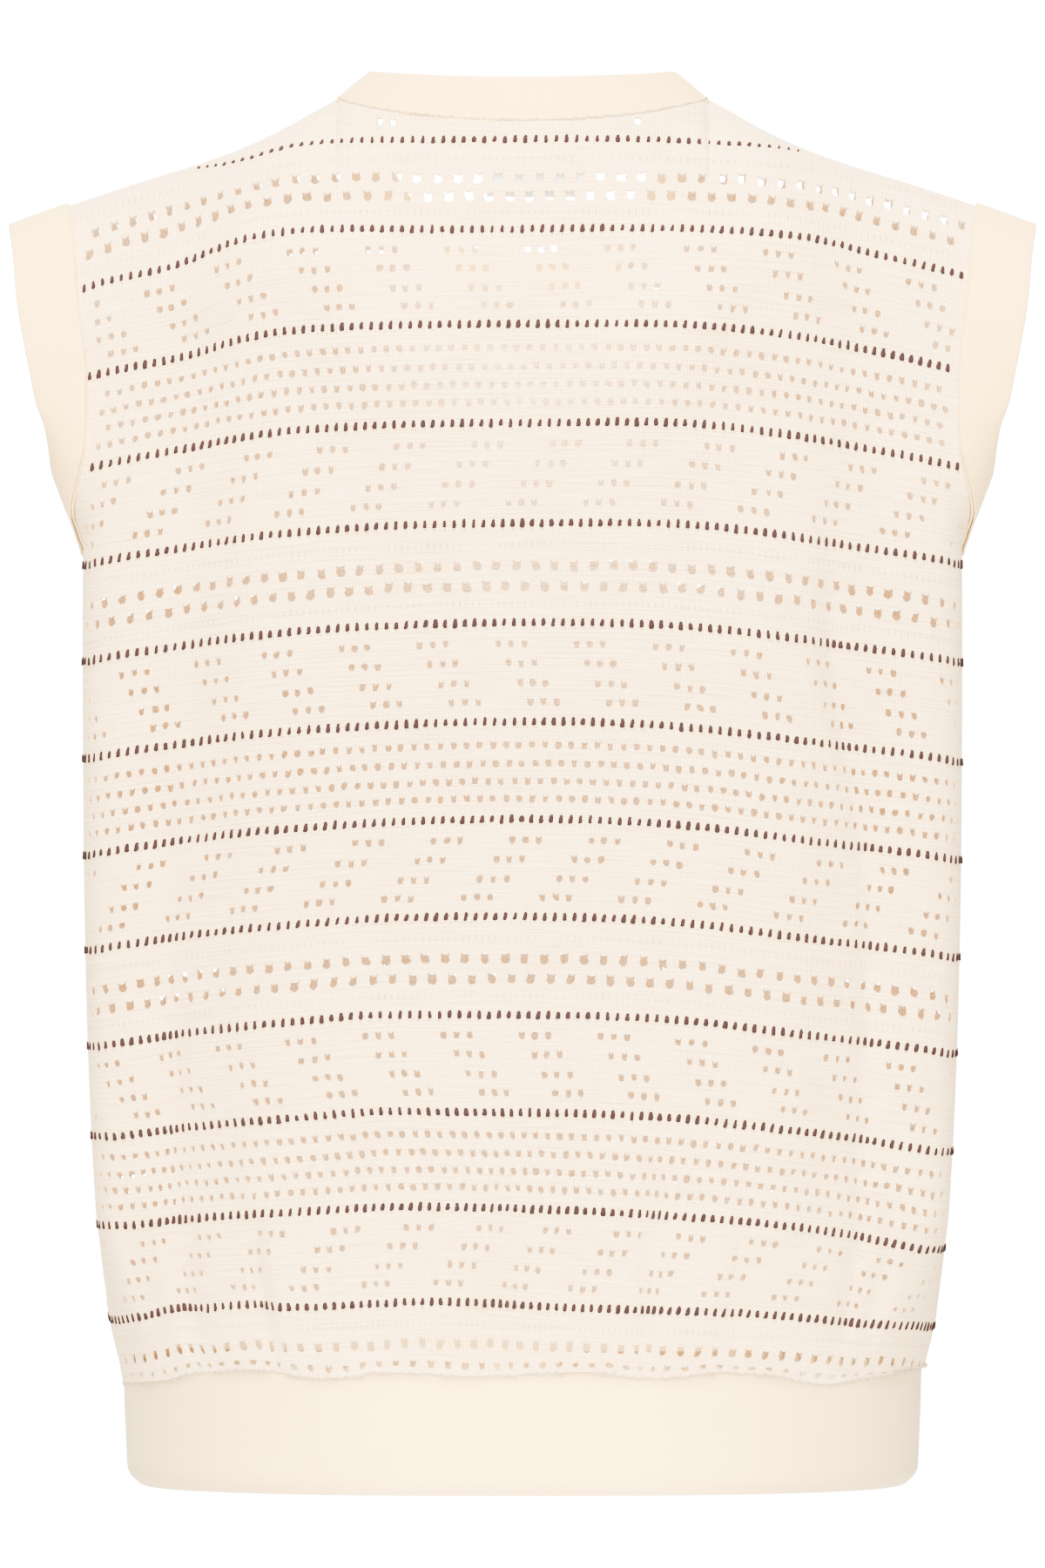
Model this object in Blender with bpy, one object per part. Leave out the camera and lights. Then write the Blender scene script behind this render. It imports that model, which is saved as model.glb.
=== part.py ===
"""Openwork knitted sweater vest, worn and hollow, with its front towards -Y.

Metres, +Z up. The origin lies midway between the two neck points of the
shoulders, where the wearer carries the vest. Each cut piece is one closed wall
of cloth: a back, a front, a neck band, two armhole bands, a hem band and a
small blank label.
"""
import bmesh
import bpy
import numpy as np

MM = 0.001

# ---- driving dimensions --------------------------------------------------
WALL = 2.0 * MM               # thickness of the knitted panels
SEAM_GAP = 0.3 * MM           # between two pieces that are sewn together
HALF_PANEL = 254.7 * MM       # cloth from a panel's middle to its side seam
WALE = HALF_PANEL / 180       # one knitted column; a panel has 360

CHEST_HALF = 194 * MM         # half width and half depth at the chest
CHEST_DEPTH = 96 * MM
HEM_SEAM_Z = -562 * MM
OVAL_FROM_Z = -490 * MM       # the section starts to turn into the hem's oval here
HEM_BOTTOM_Z = -616 * MM
NECK_HALF = 82 * MM           # neck point to the middle
NECK_BACK_DROP = 13.6 * MM
NECK_FRONT_DROP = 85 * MM
NECK_BACK_Y = 60 * MM
NECK_FRONT_RIDGE_Y = 35 * MM  # depth of the front form at the neck point's height
ARM_EDGE = 200 * MM           # cloth from the middle to the armhole's straight part
SCOOP_TOP_Z = -150 * MM       # the armhole turns towards the side seam below this
UNDERARM_Z = -202 * MM
OPEN_FROM = 172 * MM          # beside the armholes the cloth runs on straight from here
OPEN_HEADING = 13.0           # degrees back from straight across
OPEN_RISE = 46 * MM           # height over which that corner opens, from the underarm up
ROLL_INNER_X = 55 * MM        # the shoulders' rounder roll starts here, is full there
ROLL_OUTER_X = 115 * MM
BACK_ROLL = (140 * MM, 68 * MM)    # height of the roll below the neck, at the shoulder
FRONT_ROLL = (235 * MM, 92 * MM)
SHOULDER_SLIM = 0.16          # share of the depth that the shoulders lack
SLIM_FROM_Z = -230 * MM       # it is lost from here up
SLIM_FULL_Z = -90 * MM
OVAL_POWER = 2.5              # of the hem's superellipse
OVAL_RATIO = 0.52             # its depth to its width
FOLD_FADE = 45 * MM           # folds fade out over this much cloth before a side seam

NECK_BAND_UP = (12.4 * MM, 20.0 * MM, 18.5 * MM)   # rise at the sides, back and front
NECK_BAND_IN_X = 0.177        # share of the place across that it leans in by
NECK_BAND_IN_Y = 0.10         # and of the depth

BAND_WALL = 2.4 * MM          # the folded bands are a little thicker
BAND_SWELL = 0.5 * MM         # and swell a little between the seam and the fold
BAND_FOLD = 1.0 * MM          # radius of the fold at the free edge
ARM_BAND_DEPTH = 50 * MM      # where the armhole bands lean in fully
HEM_INSET = 0.8 * MM          # the panels' edge stands proud of the hem band
HEM_DRAW = (0.016, 0.012)     # share of the width and depth the hem is drawn in by
SHARP_ANGLE = 50              # degrees

LABEL_WIDE = 42 * MM
LABEL_TALL = 30 * MM
LABEL_MIDDLE_X = -6 * MM
LABEL_TOP_Z = -18 * MM
LABEL_WALL = 1.0 * MM

HOLE_WIDE = 3.6 * MM
HOLE_TALL = 5.2 * MM
HOLE_MARGIN = 1.2 * MM        # cloth left between an eyelet and its cell's edge

# Half of a body section at chest height: cloth from the middle, across, depth.
# The plateau over the shoulder blades drops away in a soft step near 137 mm.
SECTION = {
    "cloth": (0, 30, 60, 90, 110, 123, 137, 150, 162, 175, 186, 194, 202, 212, 225, 240, 254.7),
    "across": (0, 30, 60, 89.8, 109.5, 121.8, 133.9, 145.2, 156.5, 169.3, 179.9, 186.7, 191.2,
               193.6, 194.0, 194.0, 194.0),
    "depth": (96, 95.8, 95.2, 93.2, 90.2, 86.2, 79.2, 72.8, 68.9, 66.4, 63.4, 59.2, 52.6,
              43.0, 29.9, 14.9, 0.0),
}
# Half width of the body, down the vest.
GIRTH = {
    "height": (-616, -562, -549, -526, -480, -434, -364, -295, -207, -149, -122, -91, -57, -49, 15),
    "half": (175.8, 179.2, 182.4, 185.8, 189.2, 191.4, 193.3, 194.0, 194.0, 193.2, 193.8, 197.6,
             201.2, 203.0, 206.0),
}
# Depth of the back and of the front as a share of the section's.
DEPTH = {
    "height": (-616, -562, -500, -420, -320, -200, -120, 15),
    "back": (0.93, 0.94, 0.975, 0.985, 0.985, 1.0, 0.99, 0.95),
    "front": (0.93, 0.94, 0.985, 1.0, 1.01, 1.045, 1.02, 0.95),
}
# Shoulder line from the neck point outwards.
SHOULDER = {
    "across": (82.0, 93.6, 107.3, 124.4, 145.8, 170.5, 194.3, 204.4, 230),
    "height": (0.0, -6.5, -14.1, -22.1, -29.8, -37.5, -45.3, -48.8, -57.5),
}
# How far a knitted row hangs lower at the sides than in the middle.
DROOP = {
    "height": (-562, -531, -489, -405, -320, -234, -191, -148, -105, -63, -22, 0),
    "side": (0, 10, 14.5, 16.5, 17, 17, 17.3, 18, 18.5, 21, 23, 23),
    "power": (2, 2, 2, 2, 2, 2, 2.1, 2.4, 2.8, 4, 4, 4),
}
# Soft vertical folds: place and spread along the cloth, depth, and height range.
BACK_FOLDS = {
    "place": (-216, -166, -108, -62, 9, 74, 131, 171, 216, -138, 158),
    "spread": (15, 11, 12, 13, 11, 12, 9, 9, 13, 17, 16),
    "depth": (3.0, 4.6, 3.0, 3.4, 3.8, 3.4, 6.0, 6.0, 3.0, 3.4, 4.0),
    "top": (-455, -440, -450, -440, -430, -400, -470, -470, -455, -150, -140),
    "fade": (70, 80, 80, 90, 90, 110, 60, 60, 70, 120, 120),
}
FRONT_FOLDS = {
    "place": (-215, -150, -96, -40, 24, 80, 144, 208, -154, 142),
    "spread": (15, 14, 13, 13, 14, 12, 14, 15, 17, 17),
    "depth": (3.0, 3.6, 2.6, 2.8, 2.4, 3.2, 3.8, 3.0, 3.6, 3.4),
    "top": (-450, -400, -440, -460, -470, -420, -390, -450, -150, -150),
    "fade": (70, 100, 80, 70, 60, 100, 110, 70, 120, 120),
}
# Armhole band: the way from the seam to the free edge, down the armhole.
ARM_BAND = {
    "height": (-203, -198, -182, -165, -150, -122, -91, -60, -49),
    "out": (9.5, 10.3, 13, 16.5, 20.3, 23.8, 25.0, 25.4, 25.2),
    "inward": (10, 12, 12, 11, 8, 5, 6, 5, 4),
    "up": (23.8, 22, 17.5, 13, 8, -1, -4, -7, -8),
}

HALF_COLUMNS = (17, 34, 51, 68, 85, 102, 119, 128, 136, 145, 153, 170, 187, 194, 202,
                212, 222, 238, 254.7)
LEAST_CELL = 3.5 * MM         # a column closer than this to a row's end is left out
NECK_COLUMNS = 6              # as many of them end on each half of the neck curve
# Row heights at a panel's middle, from the hem seam up to the neck block.
BACK_ROWS = (-562, -538, -505, -465, -425, -392, -370, -330, -285, -245, -220, -201, -184.8,
             -178, -170, -161, -150, -138, -122, -105, -88, -70, -50, -33)
FRONT_ROWS = (-562, -538, -505, -465, -425, -392, -370, -330, -285, -245, -220, -201, -184.8,
              -178, -170, -161, -150, -138, -124, -108)
# Rows that end on the armhole's lower quarter ellipse, and the angle they end at.
SCOOP_TURNS = {-184.8: 0.0, -178: 19.0, -170: 37.0, -161: 54.0, -150: 71.0}
BACK_TOP_STEPS = (0.3, 0.6, 0.82, 1.0)
FRONT_TOP_STEPS = (0.12, 0.25, 0.38, 0.51, 0.64, 0.77, 0.89, 1.0)
# Rows of wide eyelets that are cut through, at a panel's middle.
BACK_EYELETS = (-549.4, -380.8, -209.5, -41.3)
FRONT_EYELETS = (-549.4, -380.8, -209.5)
EYELET_PITCH = 12 * WALE

COLOURS = {
    "knit": ((0.86, 0.80, 0.75, 1.0), 0.85),
    "band": ((0.87, 0.81, 0.71, 1.0), 0.82),
    "label": ((0.90, 0.89, 0.92, 1.0), 0.6),
}


# ---- smooth curves through the tables -------------------------------------
def through(table, key, column, at):
    """Cubic curve through a table's column, in metres, where key equals at.

    Between two entries the value is the Hermite cubic whose end slopes are the
    slopes of the straight lines through each entry's neighbours.
    """
    x = np.asarray(table[key], float) * MM
    y = np.asarray(table[column], float)
    slope = np.gradient(y, x)
    at = np.clip(np.asarray(at, float), x[0], x[-1])
    i = np.clip(np.searchsorted(x, at) - 1, 0, len(x) - 2)
    step = x[i + 1] - x[i]
    t = (at - x[i]) / step
    start = (1 + 2 * t) * (1 - t) ** 2 * y[i] + t * t * (3 - 2 * t) * y[i + 1]
    return start + step * (t * (1 - t) ** 2 * slope[i] - t * t * (1 - t) * slope[i + 1])


def ease(t):
    """Smooth step from 0 to 1."""
    t = np.clip(t, 0.0, 1.0)
    return t * t * (3 - 2 * t)


# ---- the worn form ---------------------------------------------------------
def oval_share(share):
    """Place on a quarter superellipse, across and depth, at a share of its length."""
    angle = np.linspace(0, np.pi / 2, 400)
    across = np.sin(angle) ** (2 / OVAL_POWER)
    depth = np.cos(angle) ** (2 / OVAL_POWER)
    steps = np.hypot(np.diff(across), OVAL_RATIO * np.diff(depth))
    length = np.concatenate(([0.0], np.cumsum(steps)))
    length = length / length[-1]
    return np.interp(share, length, across), np.interp(share, length, depth)


def neck_bow(across):
    """Height of the unit half circle over the neck opening, 0 beyond it."""
    return np.sqrt(1 - np.clip(np.abs(across) / NECK_HALF, 0, 1) ** 2)


def shoulder_height(across):
    """Height of the shoulder line outside the neck point, 0 inside it."""
    line = through(SHOULDER, "across", "height", np.abs(across)) * MM
    return np.where(np.abs(across) < NECK_HALF, 0.0, line)


def neck_height(across, side):
    """Height of a panel's upper edge: the neck curve, then the shoulder line."""
    bow = neck_bow(across)
    curve = -NECK_BACK_DROP * bow ** 1.4 if side > 0 else -NECK_FRONT_DROP * bow
    return np.where(np.abs(across) < NECK_HALF, curve, shoulder_height(across))


def body_point(cloth, height, side):
    """Outer surface of a panel; side is +1 for the back and -1 for the front.

    A section gives the place across and the depth, scaled to the girth and the
    depth at that height. It turns into an oval towards the hem, and beside the
    armholes its corner opens out into a straight run. Below the ridge of the
    shoulders the depth grows from the ridge's to the section's along
    (1 - (1 - t)^2)^e, a quarter ellipse over the shoulders (e = 1/2) and a
    parabola below the neck (e = 1). Folds are bell-shaped troughs.
    """
    cloth = np.asarray(cloth, float)
    height = np.asarray(height, float)
    girth = through(GIRTH, "height", "half", height) / CHEST_HALF * MM
    panel = "back" if side > 0 else "front"
    span = np.abs(cloth)
    across = through(SECTION, "cloth", "across", span) * MM
    depth = through(SECTION, "cloth", "depth", span) * MM
    beyond = np.maximum(span - OPEN_FROM, 0.0)
    heading = np.radians(OPEN_HEADING)
    straight_x = through(SECTION, "cloth", "across", OPEN_FROM) * MM + beyond * np.cos(heading)
    straight_y = through(SECTION, "cloth", "depth", OPEN_FROM) * MM - beyond * np.sin(heading)
    opened = ease((height - UNDERARM_Z) / OPEN_RISE) * (span > OPEN_FROM)
    across = across + opened * (straight_x - across)
    depth = depth + opened * (straight_y - depth)
    oval_x, oval_y = oval_share(span / HALF_PANEL)
    round_off = ease((OVAL_FROM_Z - height) / (OVAL_FROM_Z - HEM_SEAM_Z))
    across = across + round_off * (oval_x * CHEST_HALF - across)
    depth = depth + round_off * (oval_y * CHEST_DEPTH - depth)
    folds = BACK_FOLDS if side > 0 else FRONT_FOLDS
    near_seam = ease((HALF_PANEL - span) / FOLD_FADE)
    for place, spread, sink, top, fade in zip(*folds.values()):
        bell = np.exp(-((cloth - place * MM) / (spread * MM)) ** 2)
        depth = depth - sink * MM * bell * near_seam * ease((top * MM - height) / (fade * MM))
    x = np.sign(cloth) * across * girth
    depth = depth * through(DEPTH, "height", panel, height)
    return np.stack([x, rolled_depth(x, height, depth, side), height + 0 * x], axis=-1)


def ridge_height(x, side):
    """Height of the ridge that the form rolls over: the back's is its neck curve."""
    return neck_height(x, side) if side > 0 else shoulder_height(x)


def roll_share(x):
    """0 below the neck opening, 1 out on the shoulders."""
    return ease((np.abs(x) - ROLL_INNER_X) / (ROLL_OUTER_X - ROLL_INNER_X))


def rolled_depth(x, height, depth, side):
    """Depth on the rolled shoulders and neck, from the section's depth lower down."""
    outer = roll_share(x)
    ridge_y = (NECK_BACK_Y if side > 0 else NECK_FRONT_RIDGE_Y) * neck_bow(x)
    inner_roll, outer_roll = BACK_ROLL if side > 0 else FRONT_ROLL
    roll_height = inner_roll + (outer_roll - inner_roll) * outer
    fall = np.clip((ridge_height(x, side) - height) / roll_height, 0, 1)
    rise = (1 - (1 - fall) ** 2) ** (1 - 0.5 * outer)
    slim = SHOULDER_SLIM * outer * ease((height - SLIM_FROM_Z) / (SLIM_FULL_Z - SLIM_FROM_Z))
    return side * (ridge_y + (depth * (1 - slim) - ridge_y) * rise)


def row_height(cloth, middle):
    """Height along a knitted row, which hangs lower towards the sides."""
    side = through(DROOP, "height", "side", middle) * MM
    power = through(DROOP, "height", "power", middle)
    return middle - side * np.minimum(np.abs(cloth) / ARM_EDGE, 1.0) ** power


# ---- a panel's rows ----------------------------------------------------------
def row_cloth(edge):
    """Places of a row's points along the cloth, symmetric, ending at its edge."""
    half = np.array(HALF_COLUMNS) * MM
    half = np.append(half[half < edge - LEAST_CELL], edge)
    return np.concatenate((-half[::-1], [0.0], half))


def scoop_edge(turn):
    """Cloth place and height on the armhole's lower quarter ellipse, by its angle."""
    turn = np.radians(turn)
    cloth = HALF_PANEL - (HALF_PANEL - ARM_EDGE) * np.sin(turn)
    return cloth, SCOOP_TOP_Z + (UNDERARM_Z - SCOOP_TOP_Z) * np.cos(turn)


def level_row(middle, turn, side):
    """A knitted row; its ends lie on the side seam or on the armhole's edge."""
    middle = middle * MM
    edge, edge_height = HALF_PANEL, None
    if turn is not None:
        edge, edge_height = scoop_edge(turn)
    elif middle > SCOOP_TOP_Z:
        edge = ARM_EDGE
    cloth = row_cloth(edge)
    height = row_height(cloth, middle)
    if edge_height is not None:
        height[[0, -1]] = edge_height
    return cloth, body_point(cloth, height, side)


def top_rows(middle, steps, side):
    """Rows that fan out from the last level row to the neck and shoulder edge.

    The columns next to the middle end on the neck curve at even angles, and
    the rest are spread between the neck point and the armhole. Each column's
    drop below the ridge shrinks to the drop of the panel's edge, evenly below
    the neck and as a square over the round of the shoulders.
    """
    cloth = row_cloth(ARM_EDGE)
    half = cloth[len(cloth) // 2:]
    height = row_height(cloth, middle * MM)
    turns = np.radians(np.linspace(0, 90, NECK_COLUMNS + 1))
    rest = (half[NECK_COLUMNS:] - half[NECK_COLUMNS]) / (ARM_EDGE - half[NECK_COLUMNS])
    neck_cloth = cloth_at(NECK_HALF, 0.0, side)
    goal = np.concatenate((neck_cloth * np.sin(turns),
                           neck_cloth + rest[1:] * (ARM_EDGE - neck_cloth)))
    goal = np.concatenate((-goal[:0:-1], goal))
    x = body_point(cloth, height, side)[:, 0]
    first_drop = ridge_height(x, side) - height
    power = 1 + roll_share(x)
    rows = []
    for step in steps:
        place = cloth + step * (goal - cloth)
        for _ in range(6):
            x = body_point(place, height, side)[:, 0]
            last_drop = ridge_height(x, side) - neck_height(x, side)
            drop = last_drop + (first_drop - last_drop) * (1 - step) ** power
            height = ridge_height(x, side) - drop
        rows.append((cloth, body_point(place, height, side)))
    for hand in (-1, 1):
        rows[-1][1][len(cloth) // 2 + hand * NECK_COLUMNS] = (hand * NECK_HALF, 0.0, 0.0)
    return rows


def cloth_at(across, height, side):
    """Cloth from the middle to a place across at a height."""
    cloth = across
    for _ in range(8):
        cloth *= across / body_point(cloth, height, side)[0]
    return cloth


def panel_rows(side):
    """All rows of a panel as (cloth, points) from the hem upwards."""
    middles = BACK_ROWS if side > 0 else FRONT_ROWS
    rows = [level_row(middle, SCOOP_TURNS.get(middle), side) for middle in middles]
    rows += top_rows(middles[-1], BACK_TOP_STEPS if side > 0 else FRONT_TOP_STEPS, side)
    for _, points in rows:
        points[:, 1] = side * np.maximum(side * points[:, 1], SEAM_GAP / 2)
    top = rows[-1][1]
    top[np.abs(top[:, 1]) < 2 * SEAM_GAP, 1] = side * SEAM_GAP / 2
    return rows


# ---- meshes --------------------------------------------------------------------
def join_rows(low, high, low_cloth, high_cloth, faces):
    """Faces between two rows: quads where they match, a zip of triangles if not."""
    if len(low) == len(high):
        for k in range(len(low) - 1):
            faces.append((low[k], low[k + 1], high[k + 1], high[k]))
        return
    a = b = 0
    while a < len(low) - 1 or b < len(high) - 1:
        at_low = a < len(low) - 1
        if at_low and b < len(high) - 1:
            at_low = low_cloth[a + 1] <= high_cloth[b + 1]
        if at_low:
            faces.append((low[a], low[a + 1], high[b]))
            a += 1
        else:
            faces.append((low[a], high[b + 1], high[b]))
            b += 1


def cut_eyelet(face, centre_cloth, middle, side, points, faces):
    """Replace one cell by a frame of faces round a four-sided eyelet."""
    inner = []
    for dx, dz in ((-1, -1), (1, -1), (1, 1), (-1, 1)):
        cloth = np.array([centre_cloth + dx * HOLE_WIDE / 2])
        height = row_height(cloth, middle) + dz * HOLE_TALL / 2
        inner.append(len(points))
        points.append(body_point(cloth, height, side)[0])
    for k in range(4):
        nxt = (k + 1) % 4
        faces.append((face[k], face[nxt], inner[nxt], inner[k]))


def panel_surface(side):
    """Outer points and faces of a panel, and the loops of its free edges."""
    rows = panel_rows(side)
    points = []
    index = []
    for _, row_points in rows:
        index.append(list(range(len(points), len(points) + len(row_points))))
        points.extend(row_points)
    middles = np.array(BACK_ROWS if side > 0 else FRONT_ROWS) * MM
    eyelets = np.array(BACK_EYELETS if side > 0 else FRONT_EYELETS) * MM
    faces = []
    for k in range(len(rows) - 1):
        cells = []
        join_rows(index[k], index[k + 1], rows[k][0], rows[k + 1][0], cells)
        inside = [z for z in eyelets if k + 1 < len(middles) and middles[k] < z < middles[k + 1]]
        if not inside:
            faces.extend(cells)
            continue
        spans = eyelet_cells(rows[k][0])
        for number, cell in enumerate(cells):
            if number in spans:
                cut_eyelet(cell, spans[number], inside[0], side, points, faces)
            else:
                faces.append(cell)
    return np.array(points), faces, index


def eyelet_cells(cloth):
    """Which cells of a level row hold an eyelet, and where its middle lies."""
    spans = {}
    limit = cloth[-1]
    count = int(HALF_PANEL / EYELET_PITCH)
    for k in range(-count, count):
        centre = (k + 0.5) * EYELET_PITCH
        if abs(centre) > limit - EYELET_PITCH / 2:
            continue
        number = int(np.searchsorted(cloth, centre)) - 1
        margin = HOLE_WIDE / 2 + HOLE_MARGIN
        low = cloth[number] + margin
        high = cloth[number + 1] - margin
        if low < high:
            spans[number] = float(np.clip(centre, low, high))
    return spans


def outward_normals(points, faces):
    """Vertex normals of an open surface, kept level across the two seams."""
    total = np.zeros_like(points)
    for face in faces:
        p = points[list(face)]
        normal = np.zeros(3)
        for k in range(1, len(face) - 1):
            normal = normal + np.cross(p[k] - p[0], p[k + 1] - p[0])
        total[list(face)] += normal
    on_seam = np.abs(points[:, 1]) < SEAM_GAP
    total[on_seam, 1] = 0.0
    return total / np.linalg.norm(total, axis=1)[:, None]


def new_object(name, points, faces, material):
    """Mesh object from points and faces, smooth where the surface is."""
    mesh = bpy.data.meshes.new(name)
    mesh.from_pydata([tuple(p) for p in points], [], faces)
    mesh.shade_smooth()
    mesh.set_sharp_from_angle(angle=np.radians(SHARP_ANGLE))
    mesh.materials.append(material)
    item = bpy.data.objects.new(name, mesh)
    bpy.context.scene.collection.objects.link(item)
    return item


def wall(name, outer, inner, faces, material):
    """Closed wall between an outer and an inner surface with the same faces."""
    count = len(outer)
    shell = [tuple(face) for face in faces]
    shell += [tuple(v + count for v in reversed(face)) for face in faces]
    directed = {(f[k], f[(k + 1) % len(f)]) for f in faces for k in range(len(f))}
    for a, b in sorted(directed):
        if (b, a) not in directed:
            shell.extend(rim_faces(b, a, a + count, b + count, outer[a][2] > outer[b][2]))
    return new_object(name, np.concatenate((outer, inner)), shell, material)


def rim_faces(b, a, a_in, b_in, a_is_higher):
    """Two faces of a rim, split from the higher outer point to the lower inner one."""
    if a_is_higher:
        return [(b, a, b_in), (a, a_in, b_in)]
    return [(b, a, a_in), (b, a_in, b_in)]


def ring_band(name, rings, material):
    """Closed tube of cross-sections joined all round; each ring is a list of points."""
    count = len(rings)
    sides = len(rings[0])
    points = np.concatenate(rings)
    faces = []
    for k in range(count):
        here = k * sides
        ahead = (k + 1) % count * sides
        for s in range(sides - 1):
            faces.append((here + s, ahead + s, ahead + s + 1, here + s + 1))
        last = sides - 1
        higher = points[here][2] > points[ahead][2]
        faces.extend(rim_faces(ahead, here, here + last, ahead + last, higher))
    item = new_object(name, points, faces, material)
    shape = bmesh.new()
    shape.from_mesh(item.data)
    bmesh.ops.recalc_face_normals(shape, faces=shape.faces)
    shape.to_mesh(item.data)
    shape.free()
    item.data.shade_smooth()
    item.data.set_sharp_from_angle(angle=np.radians(SHARP_ANGLE))
    return item


def band_rings(loop, ways, inset=0.0):
    """Sections of a band at each station, set off square to the sewn edge."""
    outer = np.array([pair[0] for pair in loop])
    tangent = np.roll(outer, -1, axis=0) - np.roll(outer, 1, axis=0)
    rings = []
    for k, (edge_out, edge_in) in enumerate(loop):
        away = np.cross(tangent[k], edge_out - edge_in)
        away = away / np.linalg.norm(away)
        away = away * np.sign(np.dot(away, ways[k]))
        rings.append(band_ring(edge_out, edge_in, ways[k], away * SEAM_GAP, inset))
    return rings


def band_ring(outer, inner, way, clear, inset):
    """Eight-sided section of a folded band from its seam to its rounded free edge."""
    length = np.linalg.norm(way)
    along = way / length
    face_out = outer - inner
    face_out = face_out - along * np.dot(face_out, along)
    face_out = face_out / np.linalg.norm(face_out)
    start = outer + clear - face_out * inset
    back = inner + clear
    thick = np.dot(start - back, face_out)
    grow = max(BAND_WALL - thick, 0.0)
    full = length - SEAM_GAP
    fold = full - BAND_FOLD
    return [
        start,
        start + along * full * 0.30 + face_out * BAND_SWELL,
        start + along * full * 0.72 + face_out * BAND_SWELL,
        start + along * fold,
        start + along * full - face_out * (thick * 0.5),
        back + along * fold - face_out * grow,
        back + along * full * 0.5 - face_out * grow,
        back,
    ]


# ---- the pieces ------------------------------------------------------------------
def make_panel(name, side, material):
    """A knitted panel as a wall; gives back its edge points for the bands."""
    points, faces, index = panel_surface(side)
    if side > 0:
        faces = [tuple(reversed(face)) for face in faces]
    normals = outward_normals(points, faces)
    inner = points - normals * WALL
    on_seam = np.abs(points[:, 1]) < SEAM_GAP
    inner[on_seam, 1] = side * SEAM_GAP / 2
    wall(name, points, inner, faces, material)
    return points, inner, index


def loop_pairs(panel, picks):
    """Outer and inner points of some of a panel's vertices."""
    points, inner = panel[0], panel[1]
    return [(points[v], inner[v]) for v in picks]


def middle_pair(first, second):
    """One station between two that lie on either side of a seam."""
    return ((first[0] + second[0]) / 2, (first[1] + second[1]) / 2)


def joined_loop(back_run, front_run):
    """Closed loop of stations: back run, then front run, merged at the two seams."""
    loop = [middle_pair(front_run[-1], back_run[0])]
    loop += back_run[1:-1]
    loop.append(middle_pair(back_run[-1], front_run[0]))
    loop += front_run[1:-1]
    return loop


def neck_run(panel):
    """Stations of a panel's neck edge from its right neck point to its left one."""
    top = panel[2][-1]
    middle = len(top) // 2
    return loop_pairs(panel, top[middle - NECK_COLUMNS:middle + NECK_COLUMNS + 1])


def neck_band_way(outer):
    """Way from a neck station to the free edge: up and inwards, steeper at the back."""
    at_side, at_back, at_front = NECK_BAND_UP
    most = at_back if outer[1] > 0 else at_front
    up = at_side + (most - at_side) * neck_bow(outer[0]) ** 1.4
    return np.array([-NECK_BAND_IN_X * outer[0], -NECK_BAND_IN_Y * outer[1], up])


def make_neck_band(back, front, material):
    """Band round the neck opening, standing up and leaning inwards."""
    loop = joined_loop(neck_run(back), neck_run(front)[::-1])
    ways = [neck_band_way(outer) for outer, _ in loop]
    return ring_band("neck_band", band_rings(loop, ways), material)


def arm_run(panel, hand):
    """Stations of a panel's armhole edge from the underarm to the shoulder."""
    points, _, index = panel
    ends = [row[-1] if hand > 0 else row[0] for row in index]
    picks = [v for v in ends if points[v][2] > UNDERARM_Z - SEAM_GAP]
    return loop_pairs(panel, picks)


def make_arm_band(name, back, front, hand, material):
    """Band round an armhole: it stands out at the shoulder, up at the underarm."""
    back_run = arm_run(back, hand)
    front_run = arm_run(front, hand)
    loop = joined_loop(back_run, front_run[::-1])
    ways = []
    for outer, _ in loop:
        out, inward, up = (through(ARM_BAND, "height", key, outer[2]) * MM
                           for key in ("out", "inward", "up"))
        share = np.clip(outer[1] / ARM_BAND_DEPTH, -1, 1)
        ways.append(np.array([hand * out, -inward * share, up]))
    return ring_band(name, band_rings(loop, ways), material)


def make_hem_band(back, front, material):
    """Band round the bottom, drawn in a little towards its lower edge."""
    back_run = loop_pairs(back, back[2][0])
    front_run = loop_pairs(front, front[2][0])
    loop = joined_loop(back_run, front_run[::-1])
    fall = HEM_BOTTOM_Z - HEM_SEAM_Z
    ways = [np.array([-HEM_DRAW[0] * outer[0], -HEM_DRAW[1] * outer[1], fall]) for outer, _ in loop]
    return ring_band("hem_band", band_rings(loop, ways, HEM_INSET), material)


def make_label(material):
    """Small blank label behind the back neck, made from the back's points moved in."""
    cloth = np.linspace(LABEL_MIDDLE_X - LABEL_WIDE / 2, LABEL_MIDDLE_X + LABEL_WIDE / 2, 9)
    height = np.linspace(LABEL_TOP_Z - LABEL_TALL, LABEL_TOP_Z, 7)
    cloth, height = np.meshgrid(cloth, height)
    tiny = WALE / 3
    here = body_point(cloth, height, 1)
    right = body_point(cloth + tiny, height, 1) - here
    up = body_point(cloth, height + tiny, 1) - here
    normal = np.cross(up, right)
    normal = normal / np.linalg.norm(normal, axis=-1)[..., None]
    outer = (here - normal * (WALL + 2 * SEAM_GAP)).reshape(-1, 3)
    inner = (here - normal * (WALL + 2 * SEAM_GAP + LABEL_WALL)).reshape(-1, 3)
    rows, columns = cloth.shape
    faces = []
    for r in range(rows - 1):
        for c in range(columns - 1):
            a = r * columns + c
            faces.append((a, a + columns, a + columns + 1, a + 1))
    return wall("neck_label", outer, inner, faces, material)


def make_material(name):
    """Plain Principled material of one of the cloths."""
    colour, rough = COLOURS[name]
    material = bpy.data.materials.new(name)
    material.use_nodes = True
    shader = material.node_tree.nodes["Principled BSDF"]
    shader.inputs["Base Color"].default_value = colour
    shader.inputs["Roughness"].default_value = rough
    shader.inputs["Metallic"].default_value = 0.0
    return material


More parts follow.
